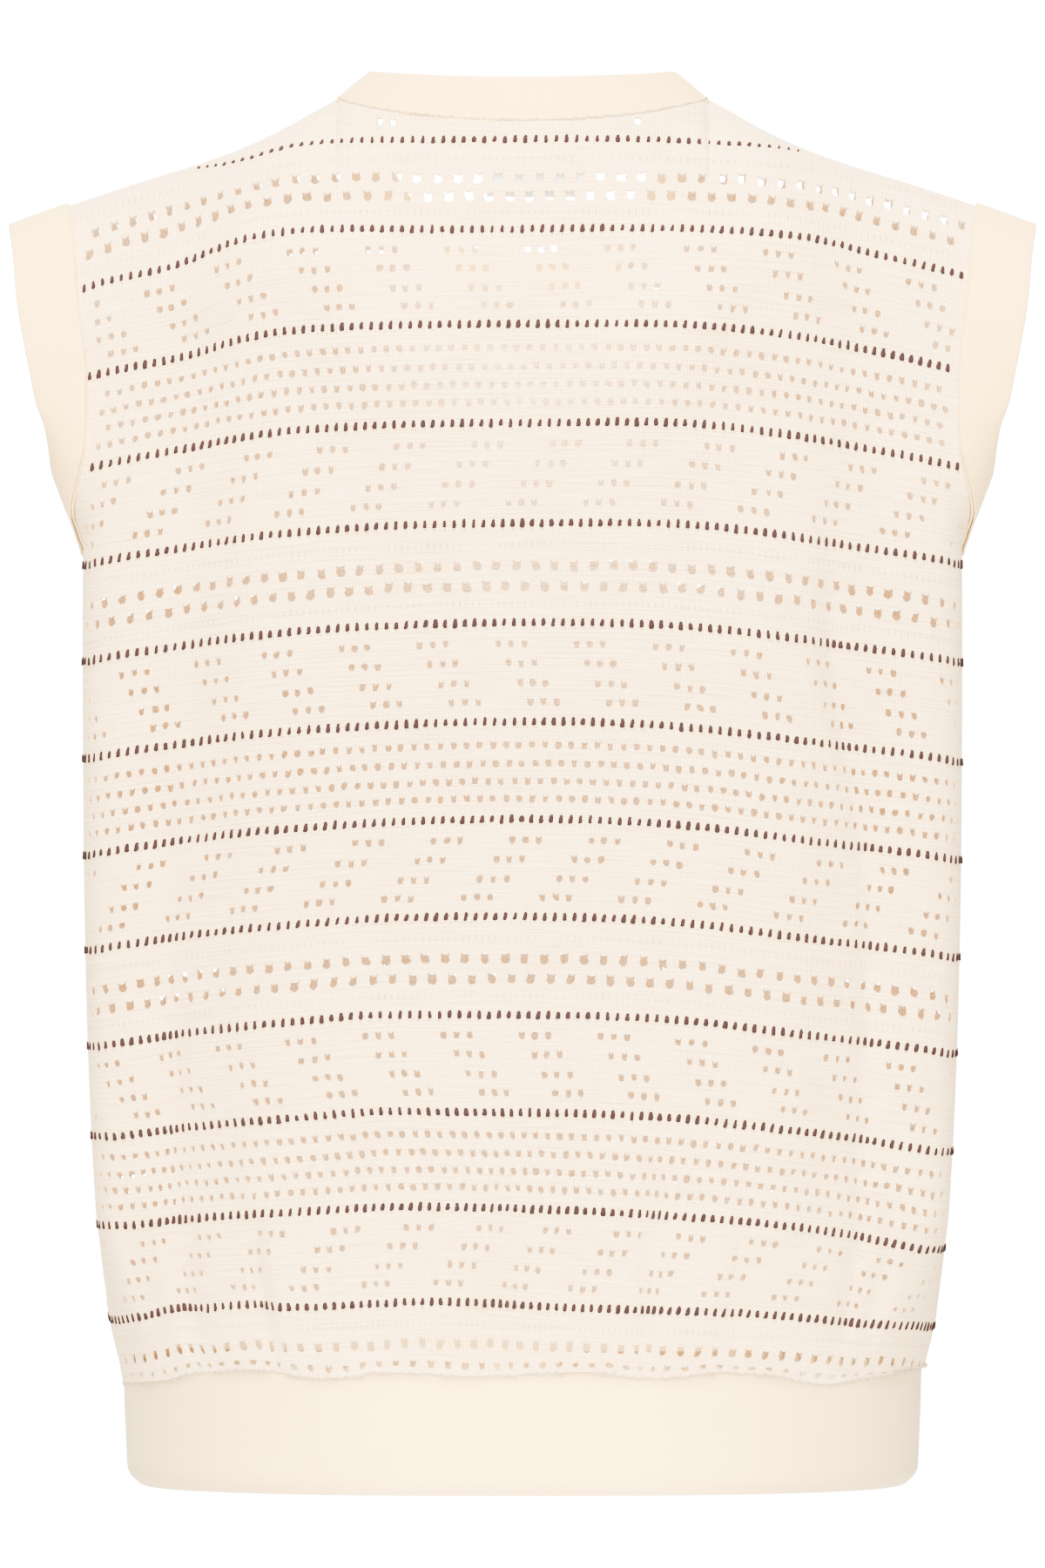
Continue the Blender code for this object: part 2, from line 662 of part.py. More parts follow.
def build():
    """Make every piece of the vest."""
    for item in list(bpy.data.objects):
        bpy.data.objects.remove(item, do_unlink=True)
    knit = make_material("knit")
    band = make_material("band")
    label = make_material("label")
    back = make_panel("back_panel", 1, knit)
    front = make_panel("front_panel", -1, knit)
    make_neck_band(back, front, band)
    make_arm_band("armhole_band_left", back, front, 1, band)
    make_arm_band("armhole_band_right", back, front, -1, band)
    make_hem_band(back, front, band)
    make_label(label)


build()
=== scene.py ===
import bpy
import mathutils
import numpy as np
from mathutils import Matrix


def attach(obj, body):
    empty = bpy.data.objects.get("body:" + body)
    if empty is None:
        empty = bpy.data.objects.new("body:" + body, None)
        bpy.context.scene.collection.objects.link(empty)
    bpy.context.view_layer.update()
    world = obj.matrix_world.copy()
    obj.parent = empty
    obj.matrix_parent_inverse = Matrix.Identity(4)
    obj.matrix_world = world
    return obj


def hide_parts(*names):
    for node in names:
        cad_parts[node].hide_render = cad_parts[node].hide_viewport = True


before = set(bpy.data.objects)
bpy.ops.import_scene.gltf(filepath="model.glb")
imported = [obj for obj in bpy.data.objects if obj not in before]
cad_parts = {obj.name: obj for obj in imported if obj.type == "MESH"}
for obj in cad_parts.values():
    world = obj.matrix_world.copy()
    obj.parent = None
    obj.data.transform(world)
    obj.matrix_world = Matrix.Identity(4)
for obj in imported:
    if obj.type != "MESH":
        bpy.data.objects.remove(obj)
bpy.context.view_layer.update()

MM = 0.001

# ---- the worn form: that of the part's source, with more folds ----------------
HALF_PANEL = 254.7 * MM       # cloth from a panel's middle to its side seam
HALF_WALES = 180              # knitted columns in it
WALE = HALF_PANEL / HALF_WALES
CHEST_HALF = 194 * MM
CHEST_DEPTH = 96 * MM
HEM_SEAM_Z = -562 * MM
OVAL_FROM_Z = -490 * MM
HEM_BOTTOM_Z = -616 * MM
NECK_HALF = 82 * MM
NECK_BACK_DROP = 13.6 * MM
NECK_FRONT_DROP = 85 * MM
NECK_BACK_POWER = 1.4         # the back neck's curve is its bow to this power
NECK_BACK_Y = 60 * MM
NECK_FRONT_RIDGE_Y = 35 * MM
ARM_EDGE = 200 * MM           # cloth from a panel's middle to the armhole's straight part
SCOOP_TOP_Z = -150 * MM
UNDERARM_Z = -202 * MM
ARM_TOP_Z = -47 * MM          # about where an armhole meets the shoulder line
OPEN_FROM = 172 * MM          # beside the armholes the cloth runs on straight from here,
OPEN_HEADING = 13.0           # this many degrees inwards,
OPEN_RISE = 46 * MM           # fully so this far above the underarm
ROLL_INNER_X = 55 * MM        # the form rolls over as at the neck up to here,
ROLL_OUTER_X = 115 * MM       # and as on the shoulders from here out
BACK_ROLL = (140 * MM, 68 * MM)     # height of the roll below the neck and on the shoulders
FRONT_ROLL = (235 * MM, 92 * MM)
SHOULDER_SLIM = 0.16          # share of the depth that goes between these two heights
SLIM_FROM_Z = -230 * MM
SLIM_FULL_Z = -90 * MM
OVAL_POWER = 2.5              # of the superellipse at the hem
OVAL_RATIO = 0.52             # its depth over its width
FOLD_FADE = 45 * MM           # the folds fade out over this at the side seams
FLAT_FROM_Z = -538 * MM       # and towards the hem band from here down,
FLAT_OVER = 24 * MM           # over this height,
FLAT_SHARE = 0.8              # by this share of their depth
SEAM_HALF_GAP = 0.05 * MM     # the two panels all but touch at their seams

# The chest's section: place along the cloth from a panel's middle, place across and depth.
SECTION = {
    "cloth": (0, 30, 60, 90, 110, 123, 137, 150, 162, 175, 186, 194, 202, 212, 225, 240, 254.7),
    "across": (0, 30, 60, 89.8, 109.5, 121.8, 133.9, 145.2, 156.5, 169.3, 179.9, 186.7, 191.2,
               193.6, 194.0, 194.0, 194.0),
    "depth": (96, 95.8, 95.2, 93.2, 90.2, 86.2, 79.2, 72.8, 68.9, 66.4, 63.4, 59.2, 52.6,
              43.0, 29.9, 14.9, 0.0),
}
# Half the form's width, and its depth as a share of the section's, by height.
GIRTH = {
    "height": (-616, -562, -549, -526, -480, -434, -364, -295, -207, -149, -122, -91, -57, -49, 15),
    "half": (175.8, 179.2, 182.4, 185.8, 189.2, 191.4, 193.3, 194.0, 194.0, 193.2, 193.8, 197.6,
             201.2, 203.0, 206.0),
}
DEPTH = {
    "height": (-616, -562, -500, -420, -320, -200, -120, 15),
    "back": (0.93, 0.94, 0.975, 0.985, 0.985, 1.0, 0.99, 0.95),
    "front": (0.93, 0.94, 0.985, 1.0, 1.01, 1.045, 1.02, 0.95),
}
# The shoulder line, from the neck point out.
SHOULDER = {
    "across": (82.0, 93.6, 107.3, 124.4, 145.8, 170.5, 194.3, 204.4, 230),
    "height": (0.0, -6.5, -14.1, -22.1, -29.8, -37.5, -45.3, -48.8, -57.5),
}
# How far a knitted row hangs lower at the two sides than in its middle, and how late it
# starts to fall, as the power of its curve.
DROOP = {
    "height": (-562, -531, -489, -448, -405, -363, -320, -278, -234, -191, -148, -105, -63, -22, 5),
    "left": (7, 8, 10, 12, 15, 15.5, 16, 16, 16.5, 17.5, 19, 21.5, 25, 27, 27),
    "right": (11, 14, 21, 19, 18, 18.5, 18, 17.5, 17, 17, 18, 19, 19, 21, 21),
    "power": (2, 2, 2, 2, 2, 2, 2, 2, 2, 2.1, 2.4, 2.8, 4, 4, 4),
}
# Folds and gathers: place along the form, cloth taken up (or let out, below 0), spread,
# depth, top and fade in height, and how far the place moves over towards the top.
BACK_FOLDS = {
    "place": (-158, 161, -228, 228, 0, -216, -172, -102, -59, 9, 71, 122, 182, 216),
    "taken": (4, 8.5, -9, -17, 9, 0.5, 0.5, 1.5, 6, 2.5, 1.5, 6, 1, 0.5),
    "spread": (6, 8.5, 26, 26, 40, 10, 6, 7, 5, 5, 6, 4.5, 8, 10),
    "depth": (4.6, 6.0, 0, 0, 0, 2.2, 3.6, 3.0, 4.4, 3.6, 3.2, 6.0, 2.8, 2.4),
    "top": (-170, -300, -400, -400, -400, -440, -430, -440, -440, -425, -420, -482, -440, -450),
    "fade": (90, 110, 90, 90, 90, 90, 90, 90, 60, 100, 100, 45, 80, 80),
    "slant": (20, -4, 0, 0, 0, 0, 0, 0, 0, 0, 0, 0, 0, 0),
}
FRONT_FOLDS = {
    "place": (-152, 142, -214, -122, -70, -18, 40, 96, 170, 212),
    "taken": (7, 7, 1, 6, 2.5, 2.5, 2, 6, 2, 1),
    "spread": (6, 6, 10, 5, 7, 6, 6, 5, 7, 10),
    "depth": (4.6, 4.2, 2.2, 4.4, 3.0, 3.6, 3.0, 4.2, 2.8, 2.2),
    "top": (-190, -260, -445, -460, -430, -425, -410, -455, -440, -450),
    "fade": (100, 110, 90, 60, 100, 100, 110, 70, 80, 80),
    "slant": (10, -8, 0, 0, 0, 0, 0, 0, 0, 0),
}
SLANT_FROM_Z = -360 * MM
SLANT_TO_Z = -240 * MM
# Where the rows are pulled up (or sag, below 0): place, height, spread across and reach in
# height, and the lift.
SWAYS = {
    "place": (158, 122, 85, -60, -165, 105, -75, -125, -40, 143, 183, 64, 235, -202, 45),
    "height": (-70, -22, -40, -60, -60, -125, -170, -340, -510, -540, -540, -440, -540, -540, -540),
    "spread": (30, 24, 40, 50, 30, 25, 45, 45, 60, 21, 17, 30, 20, 20, 35),
    "reach": (38, 16, 50, 60, 30, 40, 60, 110, 50, 32, 32, 70, 34, 32, 30),
    "lift": (-6.0, -4.5, 1.8, 1.2, -2.5, 1.2, 1.6, -2.7, -2.4, 2.8, 3.2, 1.3, -3.0, 2.2, 1.3),
}
# The knit's edge over the hem band hangs lower or higher by place.
BACK_EDGE = {
    "cloth": (-254.7, -225, -210, -200, -190, -180, -160, -148, -138, -130, -118, -108, -98,
              -88, -75, -60, -42, -20, 5, 30, 60, 80, 88, 96, 104, 115, 125, 140, 155, 170, 185,
              200, 215, 235, 254.7),
    "fall": (0.5, 0.5, 1.8, 3.2, 3.5, 4.3, 5.9, 4.6, 2.6, 1.0, 0.8, -0.1, 0.1, 1.5, 2.2, 2.4,
             -0.3, -0.4, 0.9, 1.4, -0.1, 0.2, 2.0, 2.7, 2.5, 1.5, 0.2, -0.8, -0.4, 0.7, 1.7,
             4.8, 6.3, 8.0, 9.0),
}
FRONT_EDGE = {
    "cloth": (-254.7, -205, -160, -110, -65, -25, 20, 70, 115, 160, 205, 254.7),
    "fall": (1.0, -0.8, 1.8, -1.4, 0.8, 1.6, -1.0, 1.2, -1.6, 1.4, 0.4, 1.0),
}


def through(table, key, column, at):
    """Cubic curve through a table's column, in metres, where key equals at.

    Between two entries it is the Hermite cubic whose end slopes are those of
    the straight lines through each entry's neighbours.
    """
    x = np.asarray(table[key], float) * MM
    y = np.asarray(table[column], float)
    slope = np.gradient(y, x)
    at = np.clip(np.asarray(at, float), x[0], x[-1])
    i = np.clip(np.searchsorted(x, at) - 1, 0, len(x) - 2)
    step = x[i + 1] - x[i]
    t = (at - x[i]) / step
    start = (1 + 2 * t) * (1 - t) ** 2 * y[i] + t * t * (3 - 2 * t) * y[i + 1]
    return start + step * (t * (1 - t) ** 2 * slope[i] - t * t * (1 - t) * slope[i + 1])


def ease(t):
    """Smooth step 3t^2 - 2t^3 with t held between 0 and 1."""
    t = np.clip(t, 0.0, 1.0)
    return t * t * (3 - 2 * t)


def unit(vectors):
    """Vectors divided by their lengths."""
    return vectors / np.maximum(np.linalg.norm(vectors, axis=-1), 1e-12)[..., None]


def oval_share(share):
    """Place on a quarter superellipse (sin a, cos a)^(2/power) at a share of its length."""
    angle = np.linspace(0, np.pi / 2, 400)
    across = np.sin(angle) ** (2 / OVAL_POWER)
    depth = np.cos(angle) ** (2 / OVAL_POWER)
    steps = np.hypot(np.diff(across), OVAL_RATIO * np.diff(depth))
    length = np.concatenate(([0.0], np.cumsum(steps)))
    length = length / length[-1]
    return np.interp(share, length, across), np.interp(share, length, depth)


def neck_bow(across):
    """Unit half circle sqrt(1 - (x / neck half width)^2) over the neck opening."""
    return np.sqrt(1 - np.clip(np.abs(across) / NECK_HALF, 0, 1) ** 2)


def shoulder_height(across):
    """Height of the shoulder line outside the neck point, 0 inside it."""
    line = through(SHOULDER, "across", "height", np.abs(across)) * MM
    return np.where(np.abs(across) < NECK_HALF, 0.0, line)


def neck_height(across, side):
    """Height of a panel's upper edge: the neck curve, then the shoulder line."""
    bow = neck_bow(across)
    curve = -NECK_BACK_DROP * bow ** NECK_BACK_POWER if side > 0 else -NECK_FRONT_DROP * bow
    return np.where(np.abs(across) < NECK_HALF, curve, shoulder_height(across))


def ridge_height(x, side):
    """Height of the ridge that the form rolls over: the back's is its neck curve."""
    return neck_height(x, side) if side > 0 else shoulder_height(x)


def rolled_depth(x, height, depth, side):
    """Depth from the ridge's to the section's along (1 - (1 - fall)^2)^e.

    fall is the drop below the ridge over the roll's height. e is 1 below the
    neck and 1/2, a quarter ellipse, out on the shoulders.
    """
    outer = ease((np.abs(x) - ROLL_INNER_X) / (ROLL_OUTER_X - ROLL_INNER_X))
    ridge_y = (NECK_BACK_Y if side > 0 else NECK_FRONT_RIDGE_Y) * neck_bow(x)
    inner_roll, outer_roll = BACK_ROLL if side > 0 else FRONT_ROLL
    roll_height = inner_roll + (outer_roll - inner_roll) * outer
    fall = np.clip((ridge_height(x, side) - height) / roll_height, 0, 1)
    rise = (1 - (1 - fall) ** 2) ** (1 - 0.5 * outer)
    slim = SHOULDER_SLIM * outer * ease((height - SLIM_FROM_Z) / (SLIM_FULL_Z - SLIM_FROM_Z))
    return side * (ridge_y + (depth * (1 - slim) - ridge_y) * rise)


def folds_at(height, side):
    """Place, cloth taken, spread, depth and share of each fold of a panel at a height."""
    folds = BACK_FOLDS if side > 0 else FRONT_FOLDS
    moved = ease((height - SLANT_FROM_Z) / (SLANT_TO_Z - SLANT_FROM_Z))
    for place, taken, spread, sink, top, fade, slant in zip(*folds.values()):
        share = ease((top * MM - height) / (fade * MM))
        yield (place + slant * moved) * MM, taken, spread, sink, share


def body_point(cloth, height, side, gathered=1.0):
    """Outer surface of the worn form at a place along the cloth and a height.

    The section's (across, depth) is scaled to the girth and depth there, opens
    out beside the armholes, turns into an oval at the hem and rolls over the
    shoulders. Folds and gathers sink the depth by sums of exp(-(d / spread)^2).
    """
    girth = through(GIRTH, "height", "half", height) / CHEST_HALF * MM
    panel = "back" if side > 0 else "front"
    span = np.abs(cloth)
    across = through(SECTION, "cloth", "across", span) * MM
    depth = through(SECTION, "cloth", "depth", span) * MM
    beyond = np.maximum(span - OPEN_FROM, 0.0)
    heading = np.radians(OPEN_HEADING)
    straight_x = through(SECTION, "cloth", "across", OPEN_FROM) * MM + beyond * np.cos(heading)
    straight_y = through(SECTION, "cloth", "depth", OPEN_FROM) * MM - beyond * np.sin(heading)
    opened = ease((height - UNDERARM_Z) / OPEN_RISE) * (span > OPEN_FROM)
    across = across + opened * (straight_x - across)
    depth = depth + opened * (straight_y - depth)
    oval_x, oval_y = oval_share(span / HALF_PANEL)
    round_off = ease((OVAL_FROM_Z - height) / (OVAL_FROM_Z - HEM_SEAM_Z))
    across = across + round_off * (oval_x * CHEST_HALF - across)
    depth = depth + round_off * (oval_y * CHEST_DEPTH - depth)
    near_seam = ease((HALF_PANEL - span) / FOLD_FADE)
    left_over = gathered * (1 - FLAT_SHARE * ease((FLAT_FROM_Z - height) / FLAT_OVER))
    for place, _, spread, sink, share in folds_at(height, side):
        bell = np.exp(-((cloth - place) / (spread * MM)) ** 2)
        depth = depth - sink * MM * bell * near_seam * share * left_over
    x = np.sign(cloth) * across * girth
    depth = depth * through(DEPTH, "height", panel, height)
    y = rolled_depth(x, height, depth, side)
    y = side * np.maximum(side * y, SEAM_HALF_GAP)
    return np.stack([x, y, height + 0 * x], axis=-1)


def taken_up(place, height, side):
    """Place on the form of a place on the flat cloth: each fold takes up some cloth.

    The flat place is u(w) = c (w + sum of taken * (1 + tanh((w - place) / spread)) / 2)
    plus a shift that keeps both side seams where they are. Ten Newton steps of at most
    6 mm each solve it for w.
    """
    folds = list(folds_at(height, side))

    def flat(at):
        whole = at
        slope = 1.0
        for middle, taken, spread, _, share in folds:
            wave = np.tanh((at - middle) / (spread * MM))
            whole = whole + taken * MM * share * 0.5 * (1 + wave)
            slope = slope + taken * share * 0.5 * (1 - wave ** 2) / spread
        return whole, slope
    low = flat(-HALF_PANEL)[0]
    scale = 2 * HALF_PANEL / (flat(HALF_PANEL)[0] - low)
    form = place
    for _ in range(10):
        whole, slope = flat(form)
        miss = -HALF_PANEL + scale * (whole - low) - place
        form = form - np.clip(miss / (scale * slope), -6 * MM, 6 * MM)
    return form


# ---- the knit's layout ----------------------------------------------------------
DARK_ROWS = (-22.3, -62.7, -104.6, -147.7, -191.3, -234.5, -277.7, -320.2, -362.6, -405.4,
             -447.7, -488.8, -531.2)
# The fuller front hangs with its rows a little higher, and in its middle a little further
# apart, so that few of its eyelets lie straight behind the back's.
FRONT_LIFT = 4.5 * MM
FRONT_WIDEN = 0.0427
WIDEN_FROM_Z = -305 * MM
BAND_TALL = 43.0 * MM         # above the first and below the last row of dark stitches
STRETCH_BAND = 12.49          # from this band number down the knit follows its edge
EDGE_BAND = 12.70             # the edge's own band number
# Where the rows of eyelets lie in each kind of band, as shares of its height from the top.
HOLE_ROWS = {
    "wide": (0.427, 0.635),
    "last": (0.420, 0.612),
    "fall": (0.213, 0.409, 0.613, 0.800),
    "dense": (0.240, 0.431, 0.613, 0.791),
    "climb": (0.213, 0.409, 0.613, 0.800),
}
# Kind of each band from above the first dark row, and where each hole row starts, in wales.
BACK_BANDS = (
    ("climb", (-19.8, -15.2, -10.6, -6.0)),
    ("wide", (1.0, 3.9)),
    ("fall", (-5.5, -8.9, -12.7, -16.2)),
    ("dense", (1.8, -0.4, -2.5, 0.9)),
    ("climb", (-13.2, -8.6, -4.2, 0.4)),
    ("wide", (2.55, -0.13)),
    ("fall", (4.7, 1.7, -1.7, -5.0)),
    ("dense", (-1.5, 1.5, -0.1, -1.7)),
    ("climb", (-0.1, 4.7, 9.25, 13.8)),
    ("wide", (-1.7, 2.0)),
    ("fall", (-5.2, -8.7, -11.9, -15.4)),
    ("dense", (-0.1, 2.3, 0.7, -0.7)),
    ("climb", (-10.4, -5.6, -1.3, 3.1)),
    ("last", (0.9, -1.5)),
)
FRONT_SHIFT = 10.3            # wales by which the front's holes lie over from the back's
SMALL_HALF = (1.5 * MM, 1.86 * MM)     # half width and half height of an eyelet
WIDE_HALF = (2.0 * MM, 2.5 * MM)
EDGE_HALF = (1.9 * MM, 1.5 * MM)       # of the squashed ones along the hem
FIRST_LINE = -0.95            # band number of the lattice's top
TOP_HOLES_HALF = 62 * MM      # above the first dark row the eyelets keep off the shoulders
SMALL_PITCH = 4               # wales from eyelet to eyelet in a row
WIDE_PITCH = 6
GROUP_REPEAT = 24             # wales from one group of three to the next
PLAIN_WALES = 5               # wales without eyelets at each side seam
HOLE_MARGIN = 0.75 * MM       # cloth left between an eyelet and the panel's outline
HOLE_REACH = 2.2 * WALE       # how far to each side of its middle that is tested
HOLE_DRIFT = 0.10             # spread of an eyelet's place, in wales or half heights, and lean
HOLE_WOBBLE = 0.06            # spread of each point of its outline, in half sizes
HOLE_BROAD = (0.88, 1.10)     # least and most width, as shares of the usual one
HOLE_TALL = (0.88, 1.06)
NOTCHED = 0.45                # share of the eyelets with a stitch hanging into the top
LONGEST_CELL = 6.5 * MM
SMALLEST_CELL = 0.05 * MM * MM
KNIT_WALL = 1.1 * MM
WAVE_DEPTH = 0.28 * MM        # of the knit's slow waves, which fade out
WAVE_FADE = 30 * MM           # this near to the plane of the side seams
# Outlines round a hole, as shares of its half width and half height, top row first.
SMALL_ROUND = {
    "x": ((0.74, 0.0, -0.74), (1.0, 0.0, -1.0), (0.70, 0.0, -0.70)),
    "z": ((0.80, 0.84, 0.80), (0.0, 0.0, 0.0), (-0.74, -1.0, -0.74)),
}
SMALL_NOTCH = {
    "x": ((0.86, 0.0, -0.86), (0.84, 0.0, -0.84), (0.72, 0.0, -0.72)),
    "z": ((0.98, 0.52, 0.98), (0.1, 0.0, 0.1), (-0.78, -1.0, -0.78)),
}
WIDE_SHAPE = {
    "x": ((0.95, 0.34, -0.34, -0.95), (0.80, 0.3, -0.3, -0.80), (1.0, 0.3, -0.3, -1.0),
          (0.66, 0.26, -0.26, -0.66)),
    "z": ((1.0, 0.70, 0.70, 1.0), (0.30, 0.3, 0.3, 0.30), (-0.34, -0.3, -0.3, -0.34),
          (-0.86, -1.0, -1.0, -0.86)),
}


def knit_height(band):
    """Height in the panel's middle of a band number: straight between the dark rows."""
    rows = np.array(DARK_ROWS) * MM
    tops = np.concatenate(([rows[0] + BAND_TALL], rows, [rows[-1] - BAND_TALL]))
    return np.interp(band, np.arange(-1, len(rows) + 1), tops)


def row_height(place, middle, side):
    """Height along a knitted row: middle - droop * min(|u| / edge, 1)^power.

    Each sway adds lift * exp(-(across / spread)^2 - (up / reach)^2). The front's
    rows lie higher and widen by the share that its depth has of the chest's.
    """
    left = through(DROOP, "height", "left", middle) * MM
    right = through(DROOP, "height", "right", middle) * MM
    power = through(DROOP, "height", "power", middle)
    droop = np.where(place > 0, left, right)
    row = middle - droop * np.minimum(np.abs(place) / ARM_EDGE, 1.0) ** power
    for sway, height, spread, reach, lift in zip(*SWAYS.values()):
        away = ((place - sway * MM) / (spread * MM)) ** 2
        above = ((middle - height * MM) / (reach * MM)) ** 2
        row = row + lift * MM * np.exp(-away - above)
    if side < 0:
        fullness = through(SECTION, "cloth", "depth", np.abs(place)) * MM / CHEST_DEPTH
        row = row + FRONT_LIFT + FRONT_WIDEN * fullness * (row - WIDEN_FROM_Z)
    return row


def edge_height(place, side):
    """Height of the knit's lower edge, which wanders over the hem band."""
    table = BACK_EDGE if side > 0 else FRONT_EDGE
    return HEM_SEAM_Z - through(table, "cloth", "fall", place) * MM


def slow_waves(place, height, side):
    """Waves that keep the cloth from lying perfectly smooth.

    A long product of sines of place and height, and 0.7 of one about half as long.
    """
    long_wave = np.sin(place / (9.1 * MM) + 2.1 * np.sin(height / (31 * MM)))
    long_wave = long_wave * np.sin(height / (12.3 * MM) + place / (47 * MM) + side)
    short_wave = np.sin(place / (5.3 * MM) + height / (17 * MM)) * np.sin(height / (7.9 * MM))
    return long_wave + 0.7 * short_wave


def knit_point(place, band, side):
    """Point of the outer surface for a place on the flat cloth and a band number.

    The row's height gives the place on the form, and below the last row of
    eyelets but one it runs straight to the edge.
    """
    height = row_height(place, knit_height(band), side)
    low = row_height(place, knit_height(STRETCH_BAND), side)
    share = (band - STRETCH_BAND) / (EDGE_BAND - STRETCH_BAND)
    height = np.where(share > 0, low + share * (edge_height(place, side) - low), height)
    form = taken_up(place, height, side)
    point = body_point(form, height, side)
    wave = slow_waves(place, height, side) * np.clip(np.abs(point[..., 1]) / WAVE_FADE, 0, 1)
    point[..., 1] += side * WAVE_DEPTH * wave
    return point


def knit_frame(place, band, side):
    """Point, unit tangents across and up, and outward normal, by central differences."""
    tiny = 0.4 * MM
    low = knit_point(place - tiny, band, side)
    high = knit_point(place + tiny, band, side)
    across = high - low
    rise = tiny / BAND_TALL
    up = knit_point(place, band - rise, side) - knit_point(place, band + rise, side)
    normal = np.cross(across, up) * -side
    return knit_point(place, band, side), unit(across), unit(up), unit(normal)


def inside(place, band, side):
    """Signed distance, roughly, to the panel's outline: above 0 is inside.

    The least of the drop below the neck and shoulder line, the distance from the
    armhole's straight part or from its lower quarter ellipse, and the rise
    over the lower edge's band number.
    """
    point = knit_point(place, band, side)
    below_top = neck_height(point[..., 0], side) - point[..., 2]
    over_edge = (EDGE_BAND - band) * BAND_TALL
    height = point[..., 2]
    span = np.abs(place)
    scoop = np.hypot((HALF_PANEL - span) / (HALF_PANEL - ARM_EDGE),
                     (SCOOP_TOP_Z - height) / (SCOOP_TOP_Z - UNDERARM_Z)) - 1
    scoop = scoop * (SCOOP_TOP_Z - UNDERARM_Z)
    beside = np.where(height > SCOOP_TOP_Z, ARM_EDGE - span, scoop)
    return np.minimum(np.minimum(below_top, beside), over_edge)


# ---- meshes ------------------------------------------------------------------------
def add_object(name, data):
    """Object of a mesh, lamp or camera, in the scene."""
    item = bpy.data.objects.new(name, data)
    bpy.context.scene.collection.objects.link(item)
    return item


def new_piece(name, points, face_sets, uv, material, sharp=50.0):
    """Mesh object from points, sets of faces with equal numbers of sides, and a UV.

    uv holds one pair for each point, or one for each face corner in order.
    """
    corners = np.concatenate([faces.ravel() for faces in face_sets])
    sides = np.concatenate([np.full(len(faces), faces.shape[1]) for faces in face_sets])
    starts = np.concatenate(([0], np.cumsum(sides)[:-1]))
    mesh = bpy.data.meshes.new(name)
    mesh.vertices.add(len(points))
    mesh.vertices.foreach_set("co", np.ascontiguousarray(points, np.float32).ravel())
    mesh.loops.add(len(corners))
    mesh.loops.foreach_set("vertex_index", corners.astype(np.int32))
    mesh.polygons.add(len(sides))
    mesh.polygons.foreach_set("loop_start", starts.astype(np.int32))
    mesh.update(calc_edges=True)
    layer = mesh.uv_layers.new(name="knit")
    at_corner = uv[corners] if len(uv) == len(points) else uv
    layer.uv.foreach_set("vector", np.ascontiguousarray(at_corner, np.float32).ravel())
    mesh.shade_smooth()
    mesh.set_sharp_from_angle(angle=np.radians(sharp))
    mesh.materials.append(material)
    item = add_object(name, mesh)
    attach(item, "root")
    return item


def rim_quads(faces, count):
    """Quads that close a wall: one for each edge that only one face has."""
    start = faces.ravel()
    end = np.roll(faces, -1, axis=1).ravel()
    whole = count + 1
    alone = ~np.isin(start * whole + end, end * whole + start)
    a, b = start[alone], end[alone]
    return np.stack([b, a, a + count, b + count], axis=1)


def closed_wall(name, outer, inner, faces, uv, material):
    """Closed wall of cloth: outer faces, the same turned round inside, and rims."""
    used, faces = np.unique(faces, return_inverse=True)
    faces = faces.reshape(-1, 4)
    outer, inner, uv = outer[used], inner[used], uv[used]
    count = len(used)
    shell = [faces, faces[:, ::-1] + count, rim_quads(faces, count)]
    return new_piece(name, np.concatenate((outer, inner)), shell, np.concatenate((uv, uv)),
                     material)


def tube_quads(stations, sides):
    """Quads and face-corner steps of a grid that closes both ways, stations by sides."""
    i, j = np.meshgrid(np.arange(stations), np.arange(sides), indexing="ij")
    corner_i = np.stack([i, i + 1, i + 1, i], axis=-1).reshape(-1, 4)
    corner_j = np.stack([j, j, j + 1, j + 1], axis=-1).reshape(-1, 4)
    faces = (corner_i % stations) * sides + corner_j % sides
    return faces, corner_i, corner_j


def turned_outward(points, faces, uv):
    """Closed quads and their corners' UV, turned round if the volume inside is negative.

    The volume is the sum over the quads of their corners' triple products, over six.
    """
    a, b, c, d = (points[faces[:, k]] for k in range(4))
    volume = np.einsum("ij,ij->", a, np.cross(b, c)) + np.einsum("ij,ij->", a, np.cross(c, d))
    if volume < 0:
        return faces[:, ::-1], uv.reshape(-1, 4, 2)[:, ::-1].reshape(-1, 2)
    return faces, uv


# ---- the knitted panels ---------------------------------------------------------------
SPLIT_ROW = 6                 # the row of dark stitches, from 0, where a panel's pieces meet


def hole_half(kind):
    """Half width and half height of a kind of hole."""
    return {"wide": WIDE_HALF, "edge": EDGE_HALF}.get(kind, SMALL_HALF)


